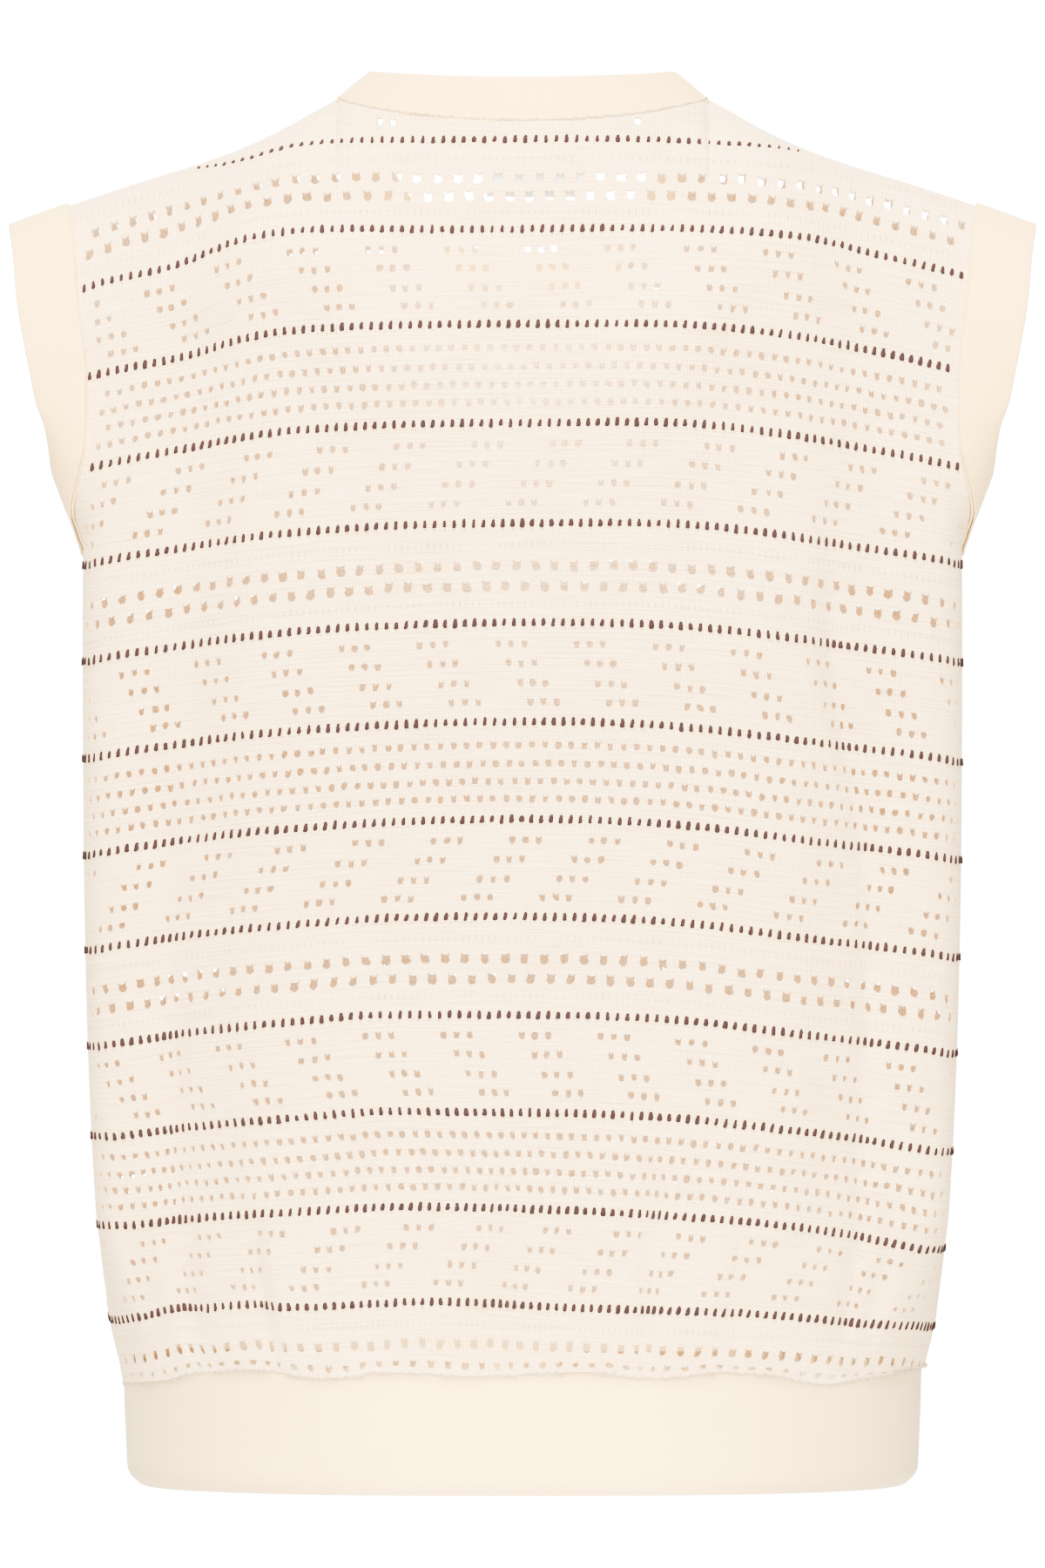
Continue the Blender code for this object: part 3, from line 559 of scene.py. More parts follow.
def lattice_rows():
    """Band numbers of the lattice's rows, top to bottom, and a list of the hole rows.

    Each hole row has a lattice row at its top, its bottom and one or two between.
    Longer gaps are divided evenly.
    """
    lines = [FIRST_LINE]
    holes = []
    for number, (kind, starts) in enumerate(BACK_BANDS):
        band = number - 1
        tall = float(knit_height(band) - knit_height(band + 1))
        kinds = ("wide", "edge") if kind == "last" else (kind,) * len(starts)
        marks = [(band, None)]
        for share, row_kind, start in zip(HOLE_ROWS[kind], kinds, starts):
            marks.append((band + share, (row_kind, start)))
        for middle, hole in marks:
            size = hole_half(hole[0])[1] if hole else 0.0
            half = size / tall
            if middle - half < lines[-1]:
                continue
            first = middle if hole is None else middle - half
            gap = (first - lines[-1]) * tall
            parts = int(np.ceil(gap / LONGEST_CELL))
            lines.extend(lines[-1] + (first - lines[-1]) * np.arange(1, parts) / parts)
            if hole is None:
                lines.append(middle)
                continue
            holes.append((len(lines), middle, half, *hole))
            steps = (-1, -1 / 3, 1 / 3, 1) if hole[0] == "wide" else (-1, 0, 1)
            lines.extend(middle + half * step for step in steps)
    lines.extend(np.linspace(lines[-1], EDGE_BAND, 3)[1:])
    return np.array(lines), holes


def hole_centres(kind, start, side):
    """Places of a row's holes in wales from the middle, side seam to side seam."""
    if side < 0:
        start = -start + FRONT_SHIFT
    if kind in ("fall", "climb"):
        groups = np.arange(-9, 10)[:, None] * GROUP_REPEAT
        centres = (start + groups + np.array([-SMALL_PITCH, 0, SMALL_PITCH])).ravel()
    else:
        pitch = WIDE_PITCH if kind in ("wide", "edge") else SMALL_PITCH
        centres = start + np.arange(-60, 61) * pitch
    return centres[np.abs(centres) < HALF_WALES - PLAIN_WALES]


def shape_holes(place, band, open_cells, hole, side, draws):
    """Move the lattice points round each hole of a row onto its outline.

    A point goes to centre + share * half size, with sizes, leans and centres
    that differ a little from hole to hole; the cells between are left open.
    """
    first, middle, half, kind, start = hole
    centres = hole_centres(kind, start, side)
    count = len(centres)
    centre = (centres + draws.normal(0, HOLE_DRIFT, count)) * WALE
    offset = middle + half * draws.normal(0, HOLE_DRIFT, count)
    broad = hole_half(kind)[0] * draws.uniform(*HOLE_BROAD, count)
    tall = half * draws.uniform(*HOLE_TALL, count)
    lean = draws.normal(0, HOLE_DRIFT, count)
    notch = draws.uniform(0, 1, count) < NOTCHED
    margin = hole_half(kind)[1] + HOLE_MARGIN
    clear = (offset > 0) | (np.abs(centre) < TOP_HOLES_HALF)
    for shift in (-HOLE_REACH, 0, HOLE_REACH):
        clear &= inside(centre + shift, offset, side) > margin
    whole, notched = (WIDE_SHAPE,) * 2 if kind == "wide" else (SMALL_ROUND, SMALL_NOTCH)
    rows = len(whole["x"])
    left = np.rint(centres - (rows - 1) / 2).astype(int) + HALF_WALES
    for r in range(rows):
        for c in range(rows):
            x = np.where(notch, notched["x"][r][rows - 1 - c], whole["x"][r][rows - 1 - c])
            z = np.where(notch, notched["z"][r][c], whole["z"][r][c])
            wobble = draws.normal(0, HOLE_WOBBLE, (2, count))
            column = (left + c)[clear]
            shifted = centre + broad * (x + lean * z + wobble[0])
            place[first + r, column] = shifted[clear]
            band[first + r, column] = (offset - tall * (z + wobble[1]))[clear]
    for r in range(rows - 1):
        for c in range(rows - 1):
            open_cells[first + r, (left + c)[clear]] = True


def onto_outline(place, band, side):
    """Move points to where inside() is 0 by five Newton steps along its gradient."""
    for _ in range(5):
        here = inside(place, band, side)
        du = 0.15 * MM
        db = du / BAND_TALL
        slope_u = (inside(place + du, band, side) - inside(place - du, band, side)) / (2 * du)
        slope_b = (inside(place, band + db, side) - inside(place, band - db, side)) / (2 * db)
        steep = slope_u ** 2 + (slope_b / BAND_TALL) ** 2 + 1e-6
        place = place - np.clip(here * slope_u / steep, -3 * MM, 3 * MM)
        shift = here * slope_b / BAND_TALL ** 2 / steep
        band = band - np.clip(shift, -4 * MM / BAND_TALL, 4 * MM / BAND_TALL)
    return np.clip(place, -HALF_PANEL, HALF_PANEL), band


def lattice(side):
    """Places, band numbers and kept cells of a panel's lattice, holes open, edges trimmed."""
    draws = np.random.default_rng(41 if side > 0 else 43)
    lines, holes = lattice_rows()
    columns = np.linspace(-HALF_PANEL, HALF_PANEL, 2 * HALF_WALES + 1)
    place, band = np.meshgrid(columns, lines)
    open_cells = np.zeros((len(lines) - 1, len(columns) - 1), bool)
    for hole in holes:
        shape_holes(place, band, open_cells, hole, side, draws)
    within = inside(place, band, side) > 0.0
    cell_in = within[:-1, :-1] | within[1:, :-1] | within[:-1, 1:] | within[1:, 1:]
    kept = cell_in & ~open_cells
    touched = np.zeros_like(within)
    for r in (0, 1):
        for c in (0, 1):
            rows = slice(r, r + kept.shape[0])
            cols = slice(c, c + kept.shape[1])
            touched[rows, cols] |= cell_in
    fringe = touched & ~within
    place[fringe], band[fringe] = onto_outline(place[fringe], band[fringe], side)
    x, z = place, -band * BAND_TALL
    one = np.stack([x[1:, 1:] - x[:-1, :-1], z[1:, 1:] - z[:-1, :-1]])
    two = np.stack([x[:-1, 1:] - x[1:, :-1], z[:-1, 1:] - z[1:, :-1]])
    area = 0.5 * (one[0] * two[1] - one[1] * two[0])
    kept &= area > SMALLEST_CELL
    return place, band, kept


def cell_faces(kept, side):
    """Quads of the kept cells with their outward way round."""
    rows, cols = kept.shape
    index = np.arange((rows + 1) * (cols + 1)).reshape(rows + 1, cols + 1)
    faces = np.stack([index[1:, :-1], index[1:, 1:], index[:-1, 1:], index[:-1, :-1]], axis=-1)
    faces = faces[kept]
    return faces[:, ::-1] if side > 0 else faces


def make_panel(names, node, side, material):
    """A knitted panel as two walls that meet along a row of dark stitches.

    Outer points are the lattice's knit points, and inner ones lie the wall's thickness
    back along the normal, short of the plane of the side seams.
    """
    place, band, kept = lattice(side)
    point, _, _, normal = knit_frame(place, band, side)
    on_seam = np.abs(point[..., 1]) < 2 * SEAM_HALF_GAP
    normal[..., 1] = np.where(on_seam, 0.0, normal[..., 1])
    inner = point - unit(normal) * KNIT_WALL
    inner[..., 1] = side * np.maximum(side * inner[..., 1], SEAM_HALF_GAP)
    uv = np.stack([place / WALE, band], axis=-1).reshape(-1, 2)
    split = int(np.argmin(np.abs(band[:, HALF_WALES] - SPLIT_ROW)))
    pieces = []
    for name, rows in zip(names, (slice(0, split), slice(split, None))):
        part = np.zeros_like(kept)
        part[rows] = kept[rows]
        piece = closed_wall(name, point.reshape(-1, 3), inner.reshape(-1, 3),
                            cell_faces(part, side), uv, material)
        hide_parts(node)
        pieces.append(piece)
    return pieces


# ---- dark stitches --------------------------------------------------------------------
DASH_PITCH = 3                # wales
DASH_START = 1.1              # wales from the middle,
DASH_SHIFT = 1.5              # and up to this more or less in each row
DASH_HALF = (1.12 * MM, 1.9 * MM, 0.55 * MM)   # half width, length and height
DASH_RINGS = (-0.99, -0.80, -0.30, 0.25, 0.78, 0.99)
DASH_SIDES = 6
DASH_LEAN = 0.09              # how far it leans over, as a share of its length
DASH_DRIFT = 0.10 * MM        # how far one lies off its row
DASH_MARGIN = 2.3 * MM        # knit left between one and the panel's outline
DASH_SEAM = 1.5 * MM          # and the side seams
DASH_SEAT = 0.12 * MM         # height of its middle over the knit


def dash_outline():
    """Unit bead: rings of radius (1 - |b|^5)^(1/3) with b along the stitch."""
    along = np.array(DASH_RINGS)
    radius = (1 - np.abs(along) ** 5) ** (1 / 3)
    turn = np.arange(DASH_SIDES) * 2 * np.pi / DASH_SIDES
    a = radius[:, None] * np.cos(turn)
    c = radius[:, None] * np.sin(turn)
    return a, along[:, None] + 0 * a, c


def bead_faces(count):
    """Faces of count beads in a row of points: quads between the rings, and the two ends."""
    rings = len(DASH_RINGS)
    i, j = np.meshgrid(np.arange(rings - 1), np.arange(DASH_SIDES), indexing="ij")
    ahead = (j + 1) % DASH_SIDES
    quads = np.stack([i * DASH_SIDES + j, (i + 1) * DASH_SIDES + j,
                      (i + 1) * DASH_SIDES + ahead, i * DASH_SIDES + ahead], axis=-1).reshape(-1, 4)
    turn = np.arange(DASH_SIDES)
    ends = np.stack([turn, (rings - 1) * DASH_SIDES + turn[::-1]])
    step = (np.arange(count) * rings * DASH_SIDES)[:, None, None]
    return (quads[None] + step).reshape(-1, 4), (ends[None] + step).reshape(-1, DASH_SIDES)


def dash_places(side, draws):
    """Place and band number of each dark stitch of a panel, row by row, within its outline."""
    places = []
    for _ in DARK_ROWS:
        start = DASH_START + draws.uniform(-DASH_SHIFT, DASH_SHIFT)
        centres = (start + np.arange(-61, 62) * DASH_PITCH) * WALE
        places.append(centres[np.abs(centres) < HALF_PANEL - DASH_SEAM])
    band = np.repeat(np.arange(len(places), dtype=float), [len(row) for row in places])
    place = np.concatenate(places)
    drift = np.sin(place / (23 * MM) + 5.1 * band) * DASH_DRIFT
    band = band + (draws.normal(0, DASH_DRIFT, len(place)) + drift) / BAND_TALL
    keep = inside(place, band, side) > DASH_MARGIN
    return place[keep], band[keep]


def make_dashes(name, side, material):
    """Rows of short dark stitches, each a bead on the knit with its own size and lean.

    A unit bead's point (a, b, c) lies width * (a * lump + curve * b^2) less lean *
    length * b across the knit, length * b up it and height * c * lump out of it. The
    lump differs from point to point and is larger at the foot.
    """
    draws = np.random.default_rng(17 if side > 0 else 19)
    place, band = dash_places(side, draws)
    count = len(place)
    point, across, up, normal = knit_frame(place, band, side)
    slow = 0.5 + 0.5 * np.sin(place / (14 * MM) + 3.7 * np.floor(band + 0.5))
    broad = DASH_HALF[0] * (0.80 + 0.14 * slow + draws.normal(0, 0.05, count)).clip(0.7, 1.1)
    tall = DASH_HALF[1] * draws.normal(1.0, 0.08, count).clip(0.75, 1.2)
    deep = DASH_HALF[2] * draws.normal(1.0, 0.12, count).clip(0.7, 1.3)
    lean = draws.normal(DASH_LEAN, 0.04, count)
    curve = draws.normal(0.0, 0.07, count)
    a, b, c = dash_outline()
    lump = (1 + 0.09 * draws.normal(0, 1, (count, *a.shape))) * (1 - 0.2 * b)
    bead_a = broad[:, None, None] * (a * lump + curve[:, None, None] * b ** 2)
    bead_a = bead_a - (side * lean * tall)[:, None, None] * b
    bead_b = tall[:, None, None] * b
    bead_c = deep[:, None, None] * c * lump
    centre = point + normal * DASH_SEAT
    points = (centre[:, None, None] + bead_a[..., None] * across[:, None, None]
              + bead_b[..., None] * up[:, None, None] + bead_c[..., None] * normal[:, None, None])
    quads, ends = bead_faces(count)
    if side > 0:
        quads, ends = quads[:, ::-1], ends[:, ::-1]
    bead_uv = np.stack([(bead_a + place[:, None, None]) / WALE, bead_b / WALE], axis=-1)
    return new_piece(name, points.reshape(-1, 3), [quads, ends], bead_uv.reshape(-1, 2),
                     material, sharp=80.0)


# ---- the folded bands -------------------------------------------------------------------
NECK_BAND_UP = (12.4 * MM, 20.0 * MM, 18.5 * MM)   # rise at the sides, back and front
NECK_BAND_IN_X = 0.177        # share of the place across that it leans in by
NECK_BAND_IN_Y = 0.10         # and of the depth
ARM_BAND_DEPTH = 50 * MM      # where the armhole bands lean in fully
HEM_DRAW = (0.010, 0.008)     # share of the width and depth the hem is drawn in by
HEM_TUCK = 9 * MM             # the hem band runs on behind the knit
HEM_LEAN = 4.5 * MM           # it leans in by this there
HEM_SINK = 2.4 * MM           # and its face lies this far below the knit's
BAND_SWELL = 0.35 * MM        # how far a band's face swells between its seam and its fold
BAND_HALF_CLOTH = 0.45 * MM   # half the thickness of one layer
BAND_FOLD = 0.75 * MM         # radius of the cloth's middle round the free edge
BAND_LAP = 1.4 * MM           # how far a band runs under the knit's edge
BAND_SINK = 0.55 * MM         # how far its face lies below the knit's
HEM_ROUND = 8.5 * MM          # over this much at its lower edge the hem band rounds in
HEM_ROUND_SHARE = 0.035       # by this share of its width and depth
ARM_BAND = {
    "height": (-203, -198, -187, -177, -165, -150, -122, -91, -60, -49),
    "out": (6.0, 6.5, 7.8, 9.8, 14.2, 19.4, 23.6, 25.0, 25.4, 25.2),
    "inward": (10, 12, 12, 11.7, 11, 8, 5, 6, 5, 4),
    "up": (23.8, 22.0, 18.8, 16.2, 13.0, 8.0, -1.0, -4.0, -7.8, -9.0),
}


def gaps_along(line):
    """Distance from each point of a closed line to the next."""
    return np.linalg.norm(np.roll(line, -1, axis=0) - line, axis=1)


def read_along(values, knots, at):
    """Three values known at each knot of a closed line, read at other places by straight lines."""
    closed = np.concatenate((values, values[:1]))
    return np.stack([np.interp(at, knots, closed[:, k]) for k in range(3)], axis=1)


def evenly(points, count):
    """Points at equal steps along a closed line through the given ones, by length."""
    along = np.append(0.0, np.cumsum(gaps_along(points)))
    return read_along(points, along, np.linspace(0, along[-1], count, endpoint=False))


def tangents(line):
    """Unit tangents of a closed line, from each point's two neighbours."""
    return unit(np.roll(line, -1, axis=0) - np.roll(line, 1, axis=0))


def follow(line, ways, outward):
    """Unit ways out of a closed line, and the unit normals of a face laid along them.

    A normal is the cross product of the line's tangent and the way.
    """
    way = unit(ways)
    return way, unit(np.cross(tangents(line), way) * outward)


def closed_line(back, front):
    """The back's run of points, then the front's from its end to its start."""
    return np.concatenate((back, front[::-1]))


def form_at(across, height, side):
    """Point of the form with a given x and height, by stepping the cloth place to it."""
    cloth = np.array(across, float)
    for _ in range(12):
        cloth = cloth + across - body_point(cloth, height, side)[..., 0]
    return body_point(cloth, height, side)


def neck_line():
    """Closed line of the neck opening: x = half width * sin(angle) on the neck curves."""
    across = NECK_HALF * np.sin(np.linspace(-np.pi / 2, np.pi / 2, 161))
    back = form_at(across, neck_height(across, 1), 1)
    front = form_at(across, neck_height(across, -1), -1)
    return closed_line(back[1:-1], front[1:-1])


def arm_line(hand):
    """Closed line of an armhole: the lower quarter ellipse and the straight part."""
    turn = np.linspace(0, np.pi / 2, 60)
    cloth = HALF_PANEL - (HALF_PANEL - ARM_EDGE) * np.sin(turn)
    height = SCOOP_TOP_Z - (SCOOP_TOP_Z - UNDERARM_Z) * np.cos(turn)
    runs = []
    for side in (1, -1):
        top = ARM_TOP_Z
        for _ in range(12):
            top = float(shoulder_height(body_point(ARM_EDGE, top, side)[0]))
        rise = np.linspace(SCOOP_TOP_Z, top, 60)[1:]
        places = np.concatenate((cloth, np.full(len(rise), ARM_EDGE)))
        runs.append(body_point(hand * places, np.concatenate((height, rise)), side))
    return closed_line(runs[0][1:-1], runs[1][1:-1])


def hem_line(height, count):
    """Closed line round the form at one height, without the knit's gathers."""
    cloth = np.linspace(-HALF_PANEL, HALF_PANEL, 1200)[1:-1]
    back, front = (body_point(cloth, height, side, gathered=0.0) for side in (1, -1))
    return evenly(closed_line(back, front), count)


def folded_cloth(length, swell, rows, lap):
    """Middle line of a doubled cloth: up the face, round the fold and down the back.

    Along runs from -lap to the length less the fold's radius; out is
    swell * sin(pi * share) on the face and two radii further in on the back,
    which swells inwards by 0.3 of that. Returns along, out and the line's own
    normals, one row for each station.
    """
    up = np.linspace(0, 1, rows) ** 0.85
    turn = np.linspace(np.pi / 2, -np.pi / 2, 7)[1:-1]
    straight = (length + lap - BAND_FOLD - BAND_HALF_CLOTH)[:, None]
    along_up = -lap + straight * up
    bulge = swell * np.sin(np.pi * up)[None] * np.ones_like(straight)
    along_turn = -lap + straight + BAND_FOLD * np.cos(turn)
    out_turn = BAND_FOLD * (np.sin(turn) - 1) * np.ones_like(straight)
    down = np.linspace(1, 0, rows // 2)
    along_down = -lap + straight * down
    out_down = -2 * BAND_FOLD - 0.3 * swell * np.sin(np.pi * down)[None] * np.ones_like(straight)
    along = np.concatenate((along_up, along_turn, along_down), axis=1)
    out = np.concatenate((bulge, out_turn, out_down), axis=1)
    step_a = np.gradient(along, axis=1)
    step_o = np.gradient(out, axis=1)
    size = np.hypot(step_a, step_o)
    return along, out, -step_o / size, step_a / size


def pucker(along, around):
    """Small puckers of a band: a sum of sines round it that fades out over 7 mm from the
    seam, and a slow product of sines all over.
    """
    wave = np.sin(around / (2.9 * MM) + 1.7 * np.sin(around / (17 * MM)))
    wave = wave + 0.6 * np.sin(around / (5.3 * MM) + 2.0)
    slow = np.sin(around / (29 * MM)) * np.sin(around / (11 * MM) + 40 * along)
    return 0.16 * MM * wave * np.exp(-np.abs(along) / (7 * MM)) + 0.22 * MM * slow


def round_in(points, along, length):
    """Scale width and depth by 1 - round share * (share of the last stretch)^2.2."""
    share = np.clip((along - length + HEM_ROUND) / HEM_ROUND, 0, 1.1)
    points[..., :2] *= (1 - HEM_ROUND_SHARE * share ** 2.2)[..., None]
    return points


def make_band(name, line, ways, material, outward, rows, lap=BAND_LAP, sink=BAND_SINK, lean=0.0):
    """A band of doubled cloth: each station's section follows its way out of the seam.

    A point is the line's plus along * way plus out * the face's normal, with along and
    out of the folded cloth's ring. The face lies sink below the knit, and the lap behind
    it leans in by lean.
    """
    way, face = follow(line, ways, outward)
    length = np.linalg.norm(ways, axis=1)
    around = np.append(0.0, np.cumsum(gaps_along(line)))
    along, out, normal_a, normal_o = folded_cloth(length, BAND_SWELL, rows, lap)
    out = out - sink + pucker(along, around[:-1, None])
    out = out - lean * np.clip(-along / lap, 0, 1) ** 1.3
    ring_a = np.concatenate((along + normal_a * BAND_HALF_CLOTH,
                             (along - normal_a * BAND_HALF_CLOTH)[:, ::-1]), axis=1)
    ring_o = np.concatenate((out + normal_o * BAND_HALF_CLOTH,
                             (out - normal_o * BAND_HALF_CLOTH)[:, ::-1]), axis=1)
    points = line[:, None] + ring_a[..., None] * way[:, None] + ring_o[..., None] * face[:, None]
    if lap > BAND_LAP:
        points = round_in(points, ring_a, length[:, None])
    stations, sides = ring_a.shape
    faces, corner_i, corner_j = tube_quads(stations, sides)
    path = np.hypot(np.diff(ring_a, axis=1, append=ring_a[:, :1]),
                    np.diff(ring_o, axis=1, append=ring_o[:, :1])).mean(axis=0)
    path = np.append(0.0, np.cumsum(path))
    uv = np.stack([around[corner_i] / WALE, path[corner_j] / MM], axis=-1).reshape(-1, 2)
    points = points.reshape(-1, 3)
    faces, uv = turned_outward(points, faces, uv)
    return new_piece(name, points, [faces], uv, material, sharp=70.0)


def make_neck_band(material):
    """Band round the neck, which stands up, highest at the back, and leans inwards.

    Its way is minus a share of x, minus a share of y, and the rise: the side's, and
    towards the middle the back's or the front's by the neck's bow.
    """
    line = evenly(neck_line(), 230)
    at_side, at_back, at_front = NECK_BAND_UP
    most = np.where(line[:, 1] > 0, at_back, at_front)
    up = at_side + (most - at_side) * neck_bow(line[:, 0]) ** NECK_BACK_POWER
    ways = np.stack([-NECK_BAND_IN_X * line[:, 0], -NECK_BAND_IN_Y * line[:, 1], up], axis=1)
    return make_band("neck_band_cloth", line, ways, material, outward=-1, rows=13)


def make_arm_band(name, hand, material):
    """Band round an armhole: it stands out at the shoulder and up at the underarm.

    Its way is read by height from the band's table, the part inwards times the share
    that y has of the armhole's depth.
    """
    line = evenly(arm_line(hand), 240)
    out, inward, up = (through(ARM_BAND, "height", key, line[:, 2]) * MM
                       for key in ("out", "inward", "up"))
    share = np.clip(line[:, 1] / ARM_BAND_DEPTH, -1, 1)
    ways = np.stack([hand * out, -inward * share, up], axis=1)
    return make_band(name, line, ways, material, outward=-hand, rows=15)


def make_hem_band(material):
    """Band round the bottom: its way falls straight, less small shares of x and y."""
    line = hem_line(HEM_SEAM_Z, 620)
    fall = np.full(len(line), HEM_BOTTOM_Z - HEM_SEAM_Z)
    ways = np.stack([-HEM_DRAW[0] * line[:, 0], -HEM_DRAW[1] * line[:, 1], fall], axis=1)
    return make_band("hem_band_cloth", line, ways, material, outward=1, rows=19, lap=HEM_TUCK,
                     sink=HEM_SINK, lean=HEM_LEAN)


# ---- loops along the edges ----------------------------------------------------------------
LOOP_PITCH = 2.9 * MM
LOOP_REACH = 0.6 * MM
HEM_LOOP_PITCH = 4.2 * MM
HEM_LOOP_REACH = 1.6 * MM
CORD_RADIUS = 0.5 * MM
CORD_SIDES = 6
CORD_STEPS = 6                # stations in each loop
CORD_RIPPLE = 0.15 * MM       # in and out of the cloth
EDGE_SHRINK = 0.998           # of the knit's outer face, for a line inside the knit


def make_cord(name, line, towards, out, material, pitch=LOOP_PITCH, reach=LOOP_REACH, seed=5):
    """Thin closed cord along a closed line, in scallops of |sin| that lean towards the band.

    A point is the cord's middle + radius * (cos(turn) * one normal + sin(turn) * the
    other); the middle is the line's + reach * (|sin| * size - 0.4) towards the band.
    """
    draws = np.random.default_rng(seed)
    loops = int(round(gaps_along(line).sum() / pitch))
    count = loops * CORD_STEPS
    share = np.arange(count) / count
    knots = np.linspace(0, 1, len(line) + 1)
    middle, towards, out = (read_along(values, knots, share) for values in (line, towards, out))
    size = np.repeat(draws.uniform(0.35, 1.35, loops), CORD_STEPS)
    scallop = np.abs(np.sin(np.pi * share * loops)) * size
    middle = middle + towards * (reach * (scallop - 0.4))[:, None]
    middle = middle + out * (CORD_RIPPLE * np.sin(2 * np.pi * share * loops))[:, None]
    tangent = tangents(middle)
    first = unit(np.cross(tangent, out))
    second = np.cross(tangent, first)
    turn = np.arange(CORD_SIDES) * 2 * np.pi / CORD_SIDES
    thick = CORD_RADIUS * np.repeat(draws.uniform(0.8, 1.2, loops), CORD_STEPS)
    thick = (thick + np.roll(thick, 3) + np.roll(thick, -3)) / 3
    ring = (np.cos(turn)[None, :, None] * first[:, None]
            + np.sin(turn)[None, :, None] * second[:, None]) * thick[:, None, None]
    points = (middle[:, None] + ring).reshape(-1, 3)
    faces, corner_i, corner_j = tube_quads(count, CORD_SIDES)
    uv = np.stack([corner_i / 4, corner_j / CORD_SIDES], axis=-1).reshape(-1, 2)
    faces, uv = turned_outward(points, faces, uv)
    return new_piece(name, points, [faces], uv, material, sharp=180.0)


def knit_edge_line():
    """Closed line along the lower edge of both knitted panels, in the knit's middle."""
    place = np.linspace(-HALF_PANEL, HALF_PANEL, 900)[1:-1]
    runs = []
    for side in (1, -1):
        height = edge_height(place, side)
        form = taken_up(place, height, side)
        runs.append(body_point(form, height, side))
    return closed_line(*runs) * (EDGE_SHRINK, EDGE_SHRINK, 1.0)


# ---- the label --------------------------------------------------------------------------
LABEL_MIDDLE_X = -6 * MM
LABEL_TOP_Z = -17 * MM
LABEL_WIDE = 42 * MM
LABEL_TALL = 30 * MM
LABEL_WALL = 0.35 * MM
LABEL_GAP = 0.35 * MM         # between it and the knit
LABEL_CURL = 1.1 * MM         # how far its foot comes away, least at its corners
LABEL_WAVE = 0.25 * MM


def make_label(material):
    """Blank label behind the back neck; its foot curls inwards.

    It lies inside the form by the knit, a gap, curl * drop^2 * (1 - 1.6 * across^2) and
    a slow sine across that grows with the drop.
    """
    across = np.linspace(-0.5, 0.5, 31)
    drop = np.linspace(0, 1, 23)
    across, drop = np.meshgrid(across, drop)
    cloth = LABEL_MIDDLE_X + LABEL_WIDE * across
    height = LABEL_TOP_Z - LABEL_TALL * drop
    here = body_point(cloth, height, 1)
    right = body_point(cloth + MM, height, 1) - here
    up = body_point(cloth, height + MM, 1) - here
    normal = unit(np.cross(up, right))
    deep = KNIT_WALL + LABEL_GAP + LABEL_CURL * drop ** 2 * (1 - 1.6 * across ** 2)
    deep = deep + LABEL_WAVE * np.sin(7 * across + 2) * drop
    outer = here - normal * deep[..., None]
    inner = here - normal * (deep + LABEL_WALL)[..., None]
    index = np.arange(across.size).reshape(across.shape)
    faces = np.stack([index[:-1, :-1], index[1:, :-1], index[1:, 1:], index[:-1, 1:]], axis=-1)
    faces = faces.reshape(-1, 4)[:, ::-1]
    uv = np.stack([across * LABEL_WIDE / MM, drop * LABEL_TALL / MM], axis=-1).reshape(-1, 2)
    return closed_wall("label_cloth", outer.reshape(-1, 3), inner.reshape(-1, 3), faces, uv,
                       material)


# ---- finishes -----------------------------------------------------------------------------
# Colours of each finish: the two that its cloth wanders between, then those of its details. The
# groove colours are painted shade between the stitches; the hem's creams are the jersey painted
# lighter, and its side colour is painted shade.
KNIT_CREAMS = ("EECBA0", "FDE7C6")
# Painted shade: the groove colours darken the cloth between its stitches.
KNIT_GROOVE_SHADE = "DDB88C"
KNIT_PRICK = "B58A5C"
JERSEY_CREAMS = ("F1CF86", "F7D894")
JERSEY_GROOVE_SHADE = "E0BE76"
# Painted light: the hem's copy of the jersey cream is lighter than the other bands', and painted
# shade darkens it towards its sides.
HEM_LIT_CREAMS = ("F8D698", "FDE0A6")
HEM_GROOVE_SHADE = "E6C488"
HEM_SIDE_SHADE = "C6B08A"
WOOL_PLUMS = ("1D1418", "33252C")
SATIN_WHITES = ("DDE4F8", "EDF1FF")
COURSES = 40                  # knitted courses in one band
PRICK_RADIUS = 0.42 * MM
KNIT_RELIEF = 0.34 * MM       # height of the knit's fine relief, then of the others'
BAND_RELIEF = 0.16 * MM
WOOL_RELIEF = 0.20 * MM
SATIN_RELIEF = 0.04 * MM
SATIN_THREADS = (5.0, 4.0)    # in a millimetre, across and down
BAND_STITCHES = (1.35, 1.15)  # the bands' finer stitches in a wale and in a millimetre
SIDE_SHADE_FROM_X = 30 * MM         # painted shade: the hem band's sides turn darker from here
SIDE_SHADE_FULL_X = 190 * MM        # to here
BACKDROP_GLOW = 16.0


def linear(code):
    """Linear colour of a six-digit sRGB code."""
    parts = np.array([int(code[k:k + 2], 16) / 255 for k in (0, 2, 4)])
    parts = np.where(parts <= 0.04045, parts / 12.92, ((parts + 0.055) / 1.055) ** 2.4)
    return (*parts, 1.0)


def new_material(name, roughness, sheen):
    """A material with the plain settings on its shader; gives its tree and shader too."""
    material = bpy.data.materials.new(name)
    material.use_nodes = True
    tree = material.node_tree
    shader = tree.nodes["Principled BSDF"]
    shader.inputs["Roughness"].default_value = roughness
    shader.inputs["Sheen Weight"].default_value = sheen
    shader.inputs["Sheen Roughness"].default_value = 0.5
    shader.inputs["Specular IOR Level"].default_value = 0.2
    return material, tree, shader


def feed(tree, socket, value):
    """Link a socket's value, or set it where it is a number or a colour's code."""
    if isinstance(value, bpy.types.NodeSocket):
        tree.links.new(value, socket)
    else:
        socket.default_value = linear(value) if isinstance(value, str) else value


def maths(tree, operation, *values):
    """Output of a Math node on sockets or numbers."""
    node = tree.nodes.new("ShaderNodeMath")
    node.operation = operation
    for socket, value in zip(node.inputs, values):
        feed(tree, socket, value)
    return node.outputs[0]


